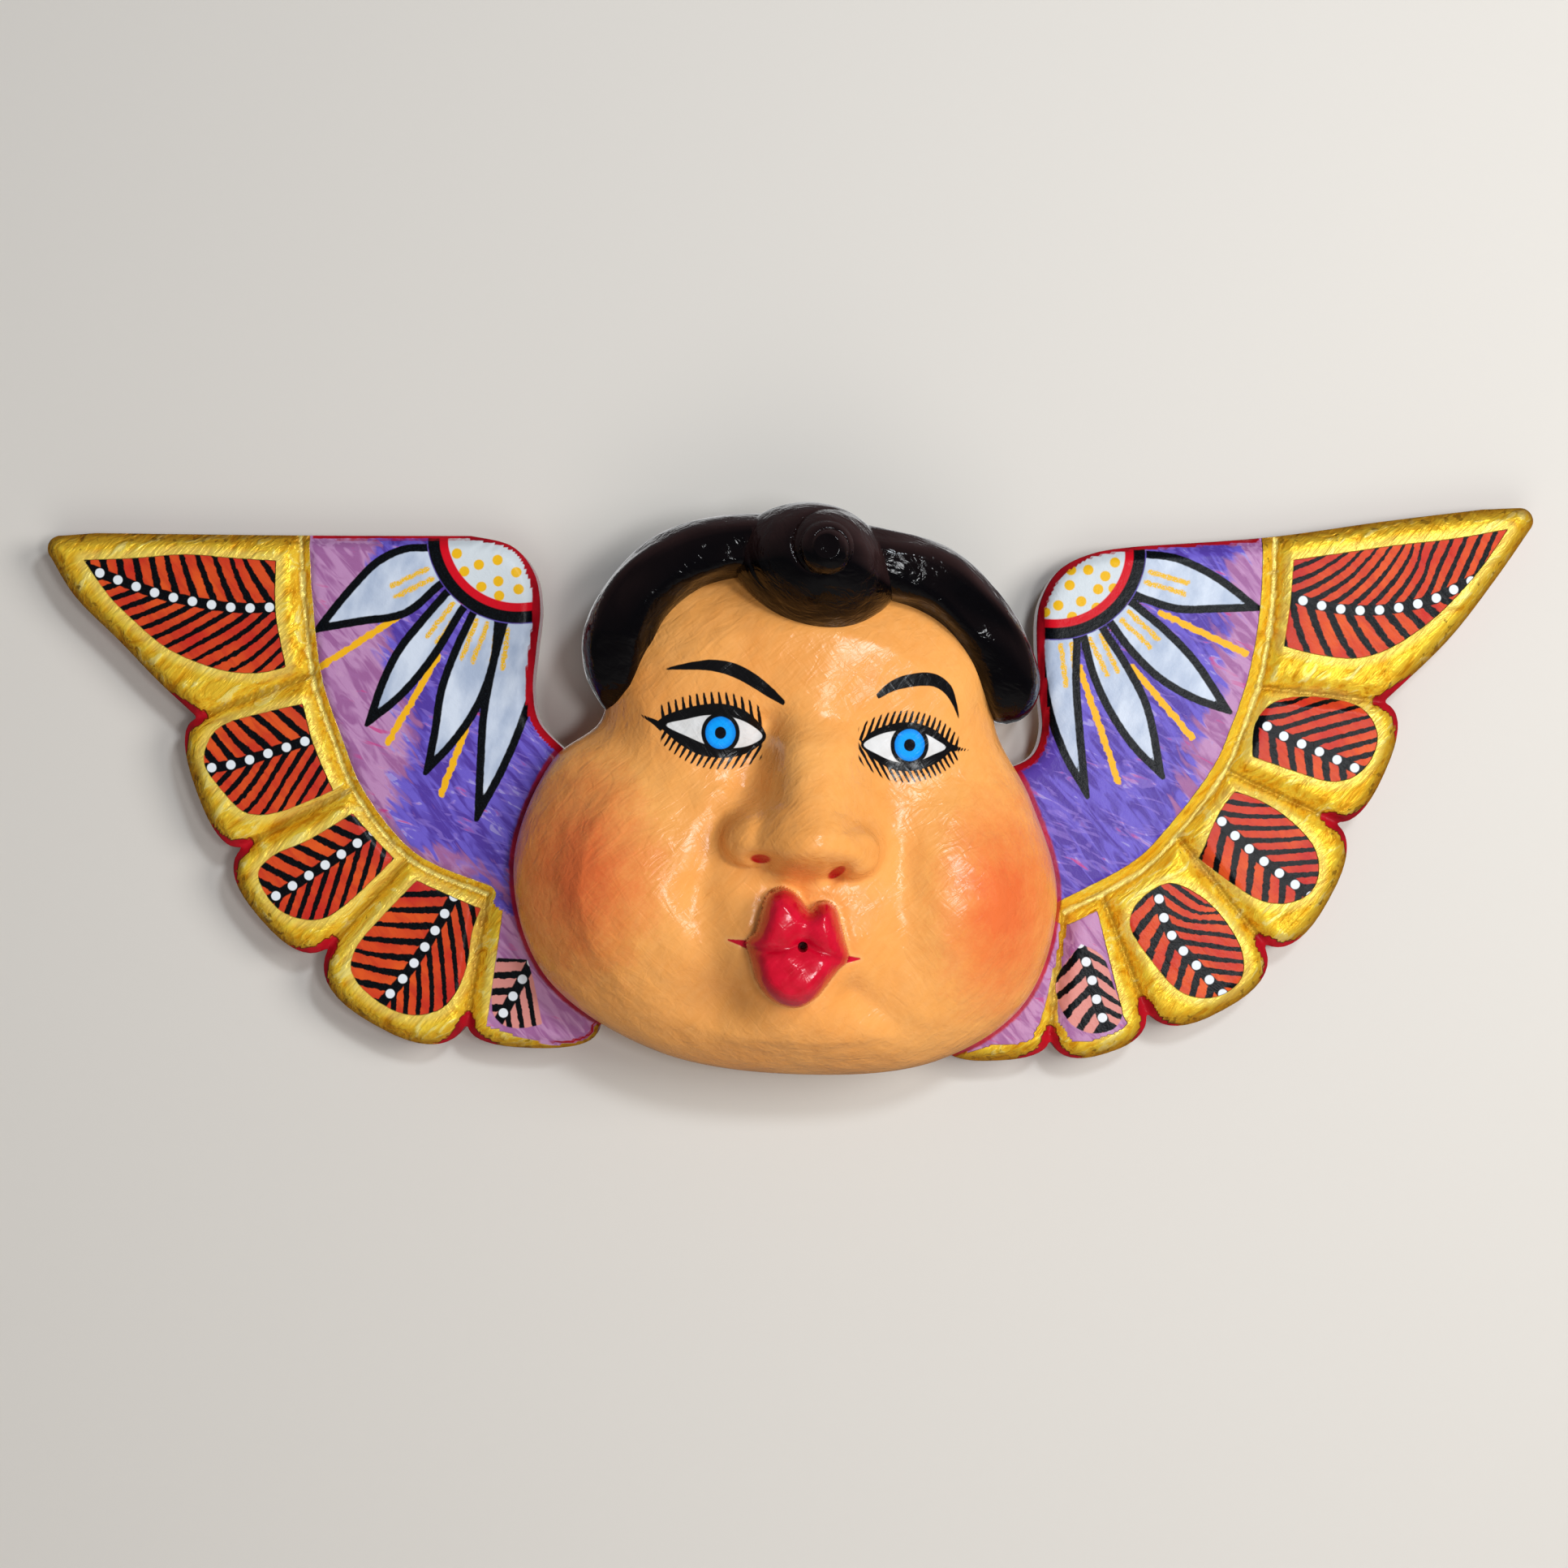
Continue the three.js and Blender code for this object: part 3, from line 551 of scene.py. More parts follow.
# Distances over a whole wing are kept in whole millimetres, up to this far
FAR = 20
LEFT_WING = {
    "tip": (-273.2, 26.4), "tip_radius": 5,
    "top": [(-260, 32.3), (-182, 31.4), (-118, 31.2)],
    "shoulder": [(-103, 27.5), (-94.5, 17.5), (-92, 4)],
    "inner": [(-93.6, -12), (-94.8, -27), (-92, -40), (-80, -52)],
    "hidden": [(-55, -70), (-52, -140)],
    "arc": [(-182.3, 31), (-181, 6.5), (-177.5, -22.5), (-170, -45.5), (-160.5, -68), (-140.5, -91.5),
            (-112, -104)],
    "roots": [0, 0.325, 0.635, 0.82, 1],
    "long": [(-267.5, 8), (-250.5, -9), (-236, -24)],
    "notches": [(-221.5, -37.5), (-204, -86), (-171.5, -123.5), (-119.5, -152.5), (-70, -154)],
    "bulges": [9.8, 13.3, 18, 9],
    "band": 3.4,
    "panels": [
        [(-263.5, 21.8), (-246.1, 22.4), (-224.8, 23.9), (-209.5, 22.7), (-191.2, 21.5), (-191.5, 3.5),
         (-189.6, -8.8), (-187.5, -18.5), (-197.3, -20.7), (-209.5, -20.1), (-221.7, -16.4), (-233.9, -10.3),
         (-244.6, -1.1), (-253.8, 8)],
        [(-218.3, -54.6), (-216.2, -45.4), (-211, -40.2), (-194.2, -35.3), (-181.1, -32.3), (-177.4, -46.9),
         (-169.8, -64.9), (-179, -68.9), (-189.6, -72.9), (-197.3, -74.1), (-203.4, -72.9), (-212.5, -63.7)],
        [(-197.9, -95.8), (-192.7, -89.7), (-179, -83.6), (-162.5, -73.5), (-155.1, -82), (-146.9, -90.6),
         (-156.1, -99.8), (-165.2, -108), (-172.8, -112.9), (-180.5, -113.5), (-189.6, -110.1),
         (-195.4, -103.4)],
        [(-163.1, -130.9), (-160.6, -123.3), (-151.5, -112.6), (-138.3, -98.8), (-124, -105.3),
         (-114.2, -109.5), (-117.3, -117.2), (-119.4, -130.9), (-123.4, -140.7), (-128.6, -146.8),
         (-137.7, -149.5), (-145.4, -148.3), (-154.5, -143.1), (-161.2, -136.4)],
        [(-108.1, -127.9), (-96.5, -128.5), (-94.1, -137), (-91, -152.9), (-99.6, -154.4),
         (-106.3, -152.9), (-109.9, -147.7)],
    ],
    "spines": [
        [(-262, 18.7), (-250.4, 14.2), (-235.1, 9), (-220.8, 5.9), (-205.8, 3.8), (-190.6, 4.1)],
        [(-220.2, -57), (-206.4, -54.9), (-191.2, -50), (-175.3, -44.8)],
        [(-195.4, -107.1), (-187.2, -102.2), (-170.4, -91.5), (-160.6, -84.8), (-154.5, -80.2)],
        [(-151.5, -145), (-144.4, -137), (-135.6, -124.5), (-130.1, -115.6), (-123.4, -103.4)],
        [(-108.1, -152.9), (-102.9, -144), (-96.5, -132.4)],
    ],
    "cheek_strip": (7, 7.6),
    "cheek_rim": ([-107, -84], [5.6, 0]),
    "cheek_wedge": ([(-108.5, -108), (-107.5, -104)], [1, 1]),
    "flower": (-100.2, 32.2),
    "seeds": [(-123.1, 24.2), (-114.8, 20), (-107.8, 21.8), (-100.8, 17.2), (-120.3, 17.5), (-107.5, 13.8),
              (-113.9, 11.7), (-99.9, 10.8), (-107.2, 8.3)],
    "petals": [
        [(-134.1, 27), (-142.3, 26.7), (-153, 21.8), (-163.7, 11.1), (-176.5, -4.8), (-160.6, -2),
         (-142.3, 1.3), (-129.2, 12)],
        [(-127.7, 9.6), (-136.2, -0.2), (-145.4, -11.8), (-151.5, -24), (-157, -40.2), (-143.8, -29.5),
         (-131.6, -14.9), (-121.5, 1.6)],
        [(-117.9, 1.3), (-124, -11.8), (-129.5, -27.1), (-131.9, -42.3), (-135, -58.5), (-124, -46.9),
         (-114.8, -33.2), (-108.7, -16.4), (-106.9, -0.8)],
        [(-105.7, -0.8), (-110.2, -17.9), (-113.6, -36.2), (-114.8, -54.6), (-115.7, -75.9), (-105.7, -57.6),
         (-98, -39.3), (-92.8, -21), (-91, 1)],
    ],
    "rays": [[(-143.2, 1.9), (-174.4, -18.5)], [(-130.1, -14.2), (-149, -46.9)],
             [(-116, -31.7), (-128.9, -66.2)]],
}
RIGHT_WING = {
    "tip": (278, 36.8), "tip_radius": 5,
    "top": [(264, 41.2), (226, 36.6), (182, 30.6), (134, 27.3)],
    "shoulder": [(118, 25), (105, 19.2), (98, 9.5), (95.4, -2.5)],
    "inner": [(96.3, -27), (97.3, -42), (93, -52.5), (80, -58)],
    "hidden": [(55, -75), (50, -140)],
    "arc": [(185.4, 29.9), (184.2, 3.5), (180, -21.5), (172.5, -44), (165, -60), (149.5, -80.5), (134, -96),
            (106, -111)],
    "roots": [0, 0.31, 0.55, 0.73, 0.93, 1],
    "long": [(268.5, 14.5), (250.5, -8.5)],
    "notches": [(226.5, -31.5), (206.5, -76), (180.8, -122.5), (136.2, -146.7), (100.2, -158), (60, -160)],
    "bulges": [11.3, 14, 15.2, 12.4, 8],
    "band": 5,
    "panels": [
        [(191.8, 21.8), (208.9, 24.2), (230.3, 27.3), (251.6, 29.7), (272.4, 33.4), (262.3, 18.7),
         (248.6, 3.5), (239.4, -4.2), (227.2, -11.8), (215, -15.2), (199.7, -13.6), (188.1, -10.6),
         (190.6, 6.5)],
        [(177.1, -40.8), (181.4, -33.8), (189, -30.1), (205.8, -30.1), (217.4, -33.8), (223.2, -43.3),
         (221.1, -53), (214.4, -59.8), (205.8, -61.6), (193.6, -58.2), (176.2, -52.1)],
        [(164, -72.9), (169.8, -65.2), (181.4, -69.8), (193.6, -79), (200.3, -88.2), (200.9, -97.9),
         (197.3, -104), (189, -107.4), (179.9, -106.5), (169.2, -100.4), (156.4, -90.6)],
        [(130.1, -115.6), (133.1, -107.1), (144.8, -99.8), (157, -104.9), (166.1, -114.1), (172.5, -126.3),
         (172.2, -135.5), (166.1, -141.3), (157, -143.1), (148.4, -140.1), (138.6, -129.4)],
        [(111.8, -122.7), (119.7, -127.2), (124, -138.5), (127.3, -149.2), (124, -154.7), (115.7, -156.3),
         (108.1, -152.9), (103.5, -144.6), (102.9, -135.5)],
    ],
    "spines": [
        [(190.6, 8), (200.6, 5), (214.1, 2.9), (229, 3.5), (243.7, 6.8), (254.7, 12)],
        [(177.7, -38.1), (186.9, -43.9), (199.4, -49.4), (218, -57.9)],
        [(161.5, -72.9), (169.5, -81.7), (180.5, -91.5), (198.2, -104.6)],
        [(139.9, -101), (145.1, -118.1), (156.7, -132.4), (166.7, -143.1)],
        [(112.1, -124.8), (115.7, -135.5), (118.8, -147.7), (123.4, -158.4)],
    ],
    "cheek_strip": (3.4, 9),
    "cheek_rim": ([62, 76, 140], [0, 5.5, 6.4]),
    "cheek_wedge": ([(101.6, -132), (101, -143), (99.8, -154)], [0.2, 1.8, 3.8]),
    "flower": (102, 26.1),
    "seeds": [(98.3, 2.2), (103.2, 4.7), (107.5, 12.3), (108.1, 18.1), (114.5, 18.1), (111.8, 6.2),
              (118.2, 10.8), (120.9, 15.7), (124.6, 20.9), (124, 11.1), (117.6, 3.8), (108.4, 0.4)],
    "petals": [
        [(135, 24.8), (147.8, 23), (163.1, 15.7), (179, 3.5), (163.1, 2.9), (147.8, 2.9), (133.1, 7.4)],
        [(132.5, 5.3), (144.8, -5.1), (155.4, -16.4), (168, -35.6), (153.9, -30.7), (140.2, -22.5),
         (129.5, -11.8), (123.4, -3.6)],
        [(121.5, -5.4), (129.5, -17.9), (137.1, -33.2), (142.6, -60.1), (131, -48.5), (121.8, -34.7),
         (115.7, -21), (112.4, -8.1)],
        [(110.9, -8.4), (110.5, -24), (111.8, -42.3), (114.2, -67.4), (105.1, -51.5), (98.9, -33.2),
         (95.3, -7.8)],
    ],
    "rays": [[(141.7, 1.9), (173.8, -13.3)], [(131, -18.5), (153.3, -44.8)],
             [(111.2, -18.8), (125.8, -61.6)]],
}


def lobe(start, end, bulge, steps=18):
    """A feather's full, half-round end from one notch to the next."""
    a, b = np.array(start, float), np.array(end, float)
    middle, half = (a + b) / 2, (b - a) / 2
    out = np.array([-half[1], half[0]]) / np.hypot(*half)
    out *= -1 if out[1] > 0 else 1
    angle = np.linspace(0, math.pi, steps + 1)
    across = -np.sign(np.cos(angle)) * np.abs(np.cos(angle)) ** 0.8
    reach = bulge * np.sin(angle).clip(0) ** 0.8
    return middle + half * across[:, None] + out * reach[:, None]


def wing_lines(wing):
    side = np.sign(wing["tip"][0])
    first, last = (0.45, 1.25) if side < 0 else (0.55, -0.25)
    angle = np.linspace(first, last, 9) * math.pi
    nose = np.array(wing["tip"]) + wing["tip_radius"] * np.stack([np.cos(angle), np.sin(angle)], 1)
    long_side = plain_curve([nose[-1], *wing["long"], wing["notches"][0]], np.linspace(0, 1, 25))[1:]
    lobes = [lobe(*ends) for ends in zip(wing["notches"][:-1], wing["notches"][1:], wing["bulges"])]
    top = plain_curve(wing["top"], np.linspace(0, 1, 25))
    inner = plain_curve([wing["top"][-1], *wing["shoulder"], *wing["inner"]], np.linspace(0, 1, 60))
    hidden = np.array(wing["hidden"], float)
    arc = plain_curve(wing["arc"], np.linspace(0, 1, ARC_STEPS + 1))
    tip_side = np.vstack([nose, long_side])
    head_side = np.vstack([hidden[::-1], inner[::-1][:-1]])
    ends = np.vstack([end[1:] for end in lobes])
    whole = np.vstack([top[::-1], tip_side, ends, head_side])
    roots = wing["roots"]

    def arc_part(start, end):
        return arc[round(ARC_STEPS * start):round(ARC_STEPS * end) + 1]

    long_top = top[np.abs(top[:, 0]) > abs(wing["arc"][0][0])]
    pads = [np.vstack([long_top[::-1], tip_side, arc_part(0, roots[1])[::-1]])]
    for i, end in enumerate(lobes):
        last = i + 2 >= len(roots)
        root = np.vstack([hidden[::-1], arc[-1:]]) if last else arc_part(roots[i + 1], roots[i + 2])[::-1]
        pads.append(np.vstack([end, root]))
    field = np.vstack([arc, head_side])
    return whole, pads, field, arc


def carve_wing(name, wing):
    whole, pads, field, _ = wing_lines(wing)
    keep = np.hypot(*(whole - np.roll(whole, 1, 0)).T) > 0.3
    whole = whole[keep]
    bpy.ops.object.select_all(action="DESELECT")
    bpy.ops.mesh.primitive_circle_add(vertices=len(whole), radius=1, fill_type="NGON")
    piece = added(name)
    place_spots(piece, np.column_stack([whole[:, 0], np.zeros(len(whole)), whole[:, 1]]))
    bpy.ops.object.mode_set(mode="EDIT")
    bpy.ops.mesh.select_all(action="SELECT")
    bpy.ops.mesh.extrude_region_move(TRANSFORM_OT_translate={"value": (0, -THICK * MM, 0)})
    bpy.ops.mesh.select_all(action="SELECT")
    bpy.ops.mesh.normals_make_consistent(inside=False)
    bpy.ops.object.mode_set(mode="OBJECT")
    piece.data.remesh_voxel_size = VOXEL * MM
    bpy.ops.object.voxel_remesh()
    spots = spots_of(piece)
    at = spots[:, [0, 2]]
    front = spots[:, 1] > THICK - 0.5 * VOXEL
    pad = inside_any(at, (*pads, field), FAR)
    rim = inside(at, whole, FAR)
    groove = EDGE * (1 - np.clip(pad / 5.4, 0, 1)) ** 1.6
    edge = EDGE * (1 - np.sqrt(1 - (1 - np.clip(rim / 7.5, 0, 1)) ** 2))
    spots[front, 1] = THICK - np.maximum(groove, edge)[front]
    spots[~front, 1] *= (THICK - EDGE) / (THICK - 0.5 * VOXEL)
    place_spots(piece, spots)
    finish_with(piece, "SMOOTH", factor=0.5, iterations=4)
    spots = spots_of(piece)
    spots[:, 1] = np.where(spots[:, 1] < 0.6, 0, spots[:, 1])
    place_spots(piece, spots)
    for other in head_room():
        joined(piece, other, "DIFFERENCE")
    return piece


def head_room():
    yield ball_net("face_room", 160, 60, grown_face)
    yield ball_net("hair_room", 32, 120, lambda turn, down: hair_net(turn, down, 0.6, 0.0))


def cornered(loop):
    """The loop with its sharp corners kept sharp, by naming them twice."""
    kept = []
    for before, at, after in zip(loop[-1:] + loop[:-1], loop, loop[1:] + loop[:1]):
        coming = math.atan2(at[1] - before[1], at[0] - before[0])
        going = math.atan2(after[1] - at[1], after[0] - at[0])
        kept += [at] * (2 if abs(math.remainder(coming - going, 2 * math.pi)) > SHARP else 1)
    return kept


def petal_curve(loop):
    """A petal's two long sides as smooth curves that meet in a point at its tip."""
    tip = int(np.argmax(np.hypot(*(np.array(loop) - (np.array(loop[0]) + loop[-1]) / 2).T)))
    return np.vstack([centripetal(loop[:tip + 1], steps=6), centripetal(loop[tip:], steps=6)[1:]])


def paint_notes_wing(piece, wing):
    whole, pads, field, arc = wing_lines(wing)
    at = spots_of(piece)[:, [0, 2]]
    rim, in_field = inside(at, whole, FAR), inside(at, field, FAR)
    own = np.array([inside(at, loop, FAR) for loop in pads])
    to_arc = np.abs(beside(at, arc, False)[0])

    # Gold on the arc and the feathers, and in a few strips beside the cheek
    start = arc[round(ARC_STEPS * wing["roots"][4])]
    away, run = beside(at, np.array([start, wing["notches"][3]]), False)
    strips = [
        np.interp(run, [0, 45], wing["cheek_strip"]) - np.abs(away),
        np.interp(at[:, 0], *wing["cheek_rim"]) - rim,
        inside(at, stroke(*wing["cheek_wedge"])), 4.6 - to_arc,
    ]
    by_cheek = (own[4:].max(0) > 0) & (in_field <= -1.5)
    gilt = np.where(in_field > -1.5, wing["band"] - to_arc, 8.0)
    gilt = np.where(by_cheek, np.max(strips, 0), gilt)

    # Where each spot lies along and across the spine of its feather
    panels = [inside(at, centripetal(cornered(loop), closed=True, steps=4)) for loop in wing["panels"]]
    feather = np.argmax(panels, 0)
    across, along = np.zeros(len(at)), np.zeros(len(at))
    for i, line in enumerate(wing["spines"]):
        side, run = beside(at, centripetal(line, steps=6))
        across, along = np.where(feather == i, side, across), np.where(feather == i, run, along)

    # The daisy's petals with their yellow strokes, and the rays between them
    centre = np.array(wing["flower"])
    petals, rays, veins = [], np.full(len(at), 20.0), np.full(len(at), 20.0)
    for loop in wing["petals"]:
        root = [np.array(end) + (centre - end) * 0.3 for end in (loop[-1], loop[0])]
        petals.append(np.vstack([petal_curve(loop), root]))
        tip = np.array(max(loop, key=lambda p: math.dist(p, centre)))
        way = (tip - centre) / math.dist(tip, centre)
        side, run = (at - centre) @ np.array([-way[1], way[0]]), (at - centre) @ way
        beyond = np.clip(np.maximum(VEIN_START - run, run - VEIN_START - VEIN_LENGTH), 0, None)
        for offset in (-2.6, 1.6):
            veins = np.minimum(veins, np.hypot(side - offset, beyond))
    for a, b in wing["rays"]:
        way = np.array(b) - a
        t = np.clip((at - a) @ way / (way @ way), 0, 1)
        rays = np.minimum(rays, np.hypot(*(at - a - t[:, None] * way).T))
    note(
        piece, rim=rim, gilt=gilt, by_cheek=by_cheek, arc_away=to_arc, pad=np.maximum(own.max(0), in_field),
        notch=to_nearest(at, wing["notches"][:-1]), cheek=-inside(at, outline[:-1]),
        panel=np.max(panels, 0), feather=feather, across=across, along=along, petal=inside_any(at, petals),
        disc=np.hypot(*(at - centre).T), seed=to_nearest(at, wing["seeds"]), ray=rays, vein=veins,
    )


# Paints
def rgb(red, green, blue):
    """A colour given as it looks, out of 255, as the light it gives back."""
    parts = (red / 255, green / 255, blue / 255)
    return (*(c / 12.92 if c < 0.04 else ((c + 0.055) / 1.055) ** 2.4 for c in parts), 1)


class Wire:
    """One value on its way through a paint, so that sums on it can be written plainly."""

    def __init__(self, paint, socket):
        self.paint, self.socket = paint, socket

    def sum(self, kind, a, b=None):
        return self.paint.node("ShaderNodeMath", {"operation": kind}, {0: a} if b is None else {0: a, 1: b})

    def __add__(self, other):
        return self.sum("ADD", self, other)

    def __sub__(self, other):
        return self.sum("SUBTRACT", self, other)

    def __rsub__(self, other):
        return self.sum("SUBTRACT", other, self)

    def __mul__(self, other):
        return self.sum("MULTIPLY", self, other)

    def __truediv__(self, other):
        return self.sum("DIVIDE", self, other)

    def __pow__(self, other):
        return self.sum("POWER", self, other)

    def __abs__(self):
        return self.sum("ABSOLUTE", self)

    __radd__, __rmul__ = __add__, __mul__

    def least(self, other):
        return self.sum("MINIMUM", self, other)

    def most(self, other):
        return self.sum("MAXIMUM", self, other)

    def turns(self, length):
        """Distance from the nearest whole multiple of the length."""
        return self.sum("PINGPONG", self, length / 2)

    def above(self, level, soft=0.3):
        """1 where the value is over the level, with a soft edge."""
        sum_of = {0: self, 1: 1 / soft, 2: 0.5 - level / soft}
        return self.paint.node("ShaderNodeMath", {"operation": "MULTIPLY_ADD", "use_clamp": True}, sum_of)

    def below(self, level, soft=0.3):
        return self.above(level, -soft)


class Paint:
    """A material made of layers of paint."""

    def __init__(self, name):
        self.material = bpy.data.materials.new(name)
        self.material.use_nodes = True
        self.tree = self.material.node_tree
        self.tree.nodes.clear()
        self.out = self.tree.nodes.new("ShaderNodeOutputMaterial")
        place = self.node("ShaderNodeTexCoord", {}, {}, "Object")
        self.place = self.node("ShaderNodeVectorMath", {"operation": "SCALE"}, {0: place, "Scale": 1 / MM})
        apart = self.node("ShaderNodeSeparateXYZ", {}, {0: self.place}, None)
        self.x, self.y, self.z = (Wire(self, apart.outputs[k]) for k in range(3))

    def node(self, kind, settings, values, output=0):
        made = self.tree.nodes.new(kind)
        for name, value in settings.items():
            setattr(made, name, value)
        for name, value in values.items():
            if isinstance(value, Wire):
                self.tree.links.new(value.socket, made.inputs[name])
            else:
                made.inputs[name].default_value = value
        return made if output is None else Wire(self, made.outputs[output])

    def read(self, name):
        return self.node("ShaderNodeAttribute", {"attribute_name": name}, {}, "Fac")

    def spread(self, scale, detail=2.0, stretch=(1, 1, 1), turn=0.0, rough=0.5, bend=0.0):
        """Even random variation, 0 to 1, with about scale patches to the millimetre."""
        at = self.node("ShaderNodeMapping", {"vector_type": "TEXTURE"}, {
            "Vector": self.place, "Scale": tuple(1 / s for s in stretch), "Rotation": (0, turn, 0)})
        return self.node("ShaderNodeTexNoise", {}, {
            "Vector": at, "Scale": scale, "Detail": detail, "Roughness": rough, "Distortion": bend})

    def over(self, share, below, above):
        """The colour above laid over the one below."""
        return self.node("ShaderNodeMix", {"data_type": "RGBA"}, {0: share, 6: below, 7: above}, 2)

    def layers(self, ground, *laid):
        """The ground with coats laid over it in turn, each given as its share and its colour."""
        for share, colour in laid:
            ground = self.over(share, ground, colour)
        return ground

    def wood(self, grain):
        return self.over(grain.above(0.5, 0.5), rgb(176, 134, 88), rgb(206, 168, 118))

    def bump(self, height, strength=1.0):
        return self.node("ShaderNodeBump", {}, {"Height": height, "Distance": MM, "Strength": strength})

    def finish(self, **values):
        coat = self.node("ShaderNodeBsdfPrincipled", {}, {k.replace("_", " "): v for k, v in values.items()})
        self.tree.links.new(coat.socket, self.out.inputs["Surface"])
        return self.material


def skin_paint():
    paint = Paint("painted_skin")
    patch = paint.spread(0.03, 3)
    skin = paint.over(patch.above(0.5, 0.5), rgb(232, 152, 74), rgb(244, 172, 92))
    streak = paint.spread(0.35, 3, (1, 1, 0.35), 0.6)
    skin = paint.over(streak.above(0.62, 0.5) * 0.25, skin, rgb(250, 190, 120))
    for cx, cz, wide, tall in BLUSHES:
        reach = (((paint.x - cx) / wide) ** 2 + ((paint.z - cz) / tall) ** 2) ** 0.5
        reach = reach + (paint.spread(0.12, 4) - 0.5) * 0.7 + (paint.spread(0.9, 2) - 0.5) * 0.5
        skin = paint.over(reach.below(0.85, 1.2) * 0.72, skin, rgb(226, 84, 44))
    for cx, cz, turn in NOSTRILS:
        across, up = turned(paint.x, paint.z, (cx, cz), turn)
        reach = ((across / 3.6) ** 2 + (up / 1.7) ** 2) ** 0.5
        skin = paint.over(reach.below(1, 0.3), skin, rgb(196, 24, 30))
    wobble = (paint.spread(0.5, 2) - 0.5) * 0.5
    lips_in = paint.read("lips") + wobble
    lip_red = paint.over(paint.spread(0.25, 3).above(0.5, 0.5), rgb(190, 4, 34), rgb(214, 12, 48))
    lip_red = paint.over(paint.read("mouth").below(0.2, 2.2) * 0.5, lip_red, rgb(120, 0, 16))
    on_lips = lips_in.above(0, 0.35)
    skin = paint.over(lips_in.above(-0.9, 1.4) * 0.4, skin, rgb(245, 185, 120))
    skin = paint.over(on_lips, skin, lip_red)
    lash_away = paint.read("lash_away") + wobble
    for cx, cz, apart, leans in EYE_LASHES:
        above = (paint.z - cz + (paint.x - cx) * 0.1).above(0, 0.2)
        upper = (paint.x - (paint.z - cz) * leans[0] + wobble).turns(apart)
        lower = (paint.x - (paint.z - cz) * leans[1] + wobble).turns(apart)
        stroke_at = upper * above + lower * (1 - above)
        hairs = (stroke_at + lash_away * 0.09).below(0.72, 0.25) * lash_away.below(4.2, 0.6)
        hairs = hairs * abs(paint.x - cx).below(18.5, 0.6)
        lash = hairs if cx < 0 else lash.most(hairs)
    black = rgb(8, 7, 9)
    skin = paint.over(lash, skin, black)
    skin = paint.over((paint.read("eye_liner") + wobble * 0.6).above(0, 0.3), skin, black)
    eye_white = paint.over(paint.spread(0.15, 2).above(0.5, 0.4), rgb(208, 208, 208), rgb(226, 228, 230))
    skin = paint.over(paint.read("eye_white").above(0.1, 0.3), skin, eye_white)
    rings = [((paint.x - cx) ** 2 + ((paint.z - cz) * 0.94) ** 2) ** 0.5 for cx, cz in IRISES]
    ring = rings[0].least(rings[1]) + wobble * 0.4
    skin = paint.over(ring.below(7.0, 0.3), skin, black)
    blue = paint.over(ring.above(4.6, 1.6), rgb(4, 160, 255), rgb(0, 130, 228))
    skin = paint.over(ring.below(5.5, 0.3), skin, blue)
    skin = paint.over(ring.below(2.1, 0.3), skin, rgb(8, 8, 14))
    skin = paint.over((paint.read("brow") + wobble * 0.5).above(0, 0.3), skin, black)
    brush = paint.spread(0.3, 2, (1, 1, 0.3), 0.9, bend=1.0) * 0.4 + paint.spread(0.07, 1) * 1.5
    brush = brush + paint.spread(0.28, 2, (1, 1, 0.3), -0.7, bend=1.0) * 0.3
    brush = brush * (1 - on_lips * 0.2)
    rough = 0.21 + paint.spread(0.2, 3) * 0.1 - on_lips * 0.06
    return paint.finish(
        Base_Color=skin, Roughness=rough, Normal=paint.bump(brush, 0.9), Coat_Weight=on_lips * 0.25 + 0.08,
        Coat_Roughness=0.14, Specular_IOR_Level=0.34,
    )


def hair_lacquer():
    paint = Paint("black_lacquer")
    patch = paint.spread(0.05, 3)
    # Warm brown on the slopes that face up and aside, chosen by the surface's normals: a painted reflection
    # on the black lacquer, its strength varied at random
    aside = paint.read("facing").below(0.78, 0.6) * paint.read("upward").above(0.05, 0.5)
    black = paint.over(aside * (patch * 0.9 + 0.25), rgb(4, 3, 5), rgb(64, 43, 42))
    cells = paint.node("ShaderNodeTexVoronoi", {"feature": "SMOOTH_F1"}, {
        "Vector": paint.place, "Scale": 0.13, "Smoothness": 0.9}, "Distance")
    locks = paint.spread(0.22, 3, (0.5, 1, 1), 0.6, bend=1.4)
    height = cells * 0.9 + locks * 0.6
    rough = 0.05 + patch * 0.07
    return paint.finish(
        Base_Color=black, Roughness=rough, Normal=paint.bump(height, 0.7), Specular_IOR_Level=0.16,
    )


def bare_wood():
    paint = Paint("bare_wood")
    grain = paint.spread(0.5, 4, (1, 1, 0.06), bend=0.6)
    stain = paint.spread(0.03, 2).above(0.6, 0.3) * 0.4
    wood = paint.over(stain, paint.wood(grain), rgb(120, 84, 52))
    return paint.finish(Base_Color=wood, Roughness=0.75, Normal=paint.bump(grain * 0.5, 0.8))


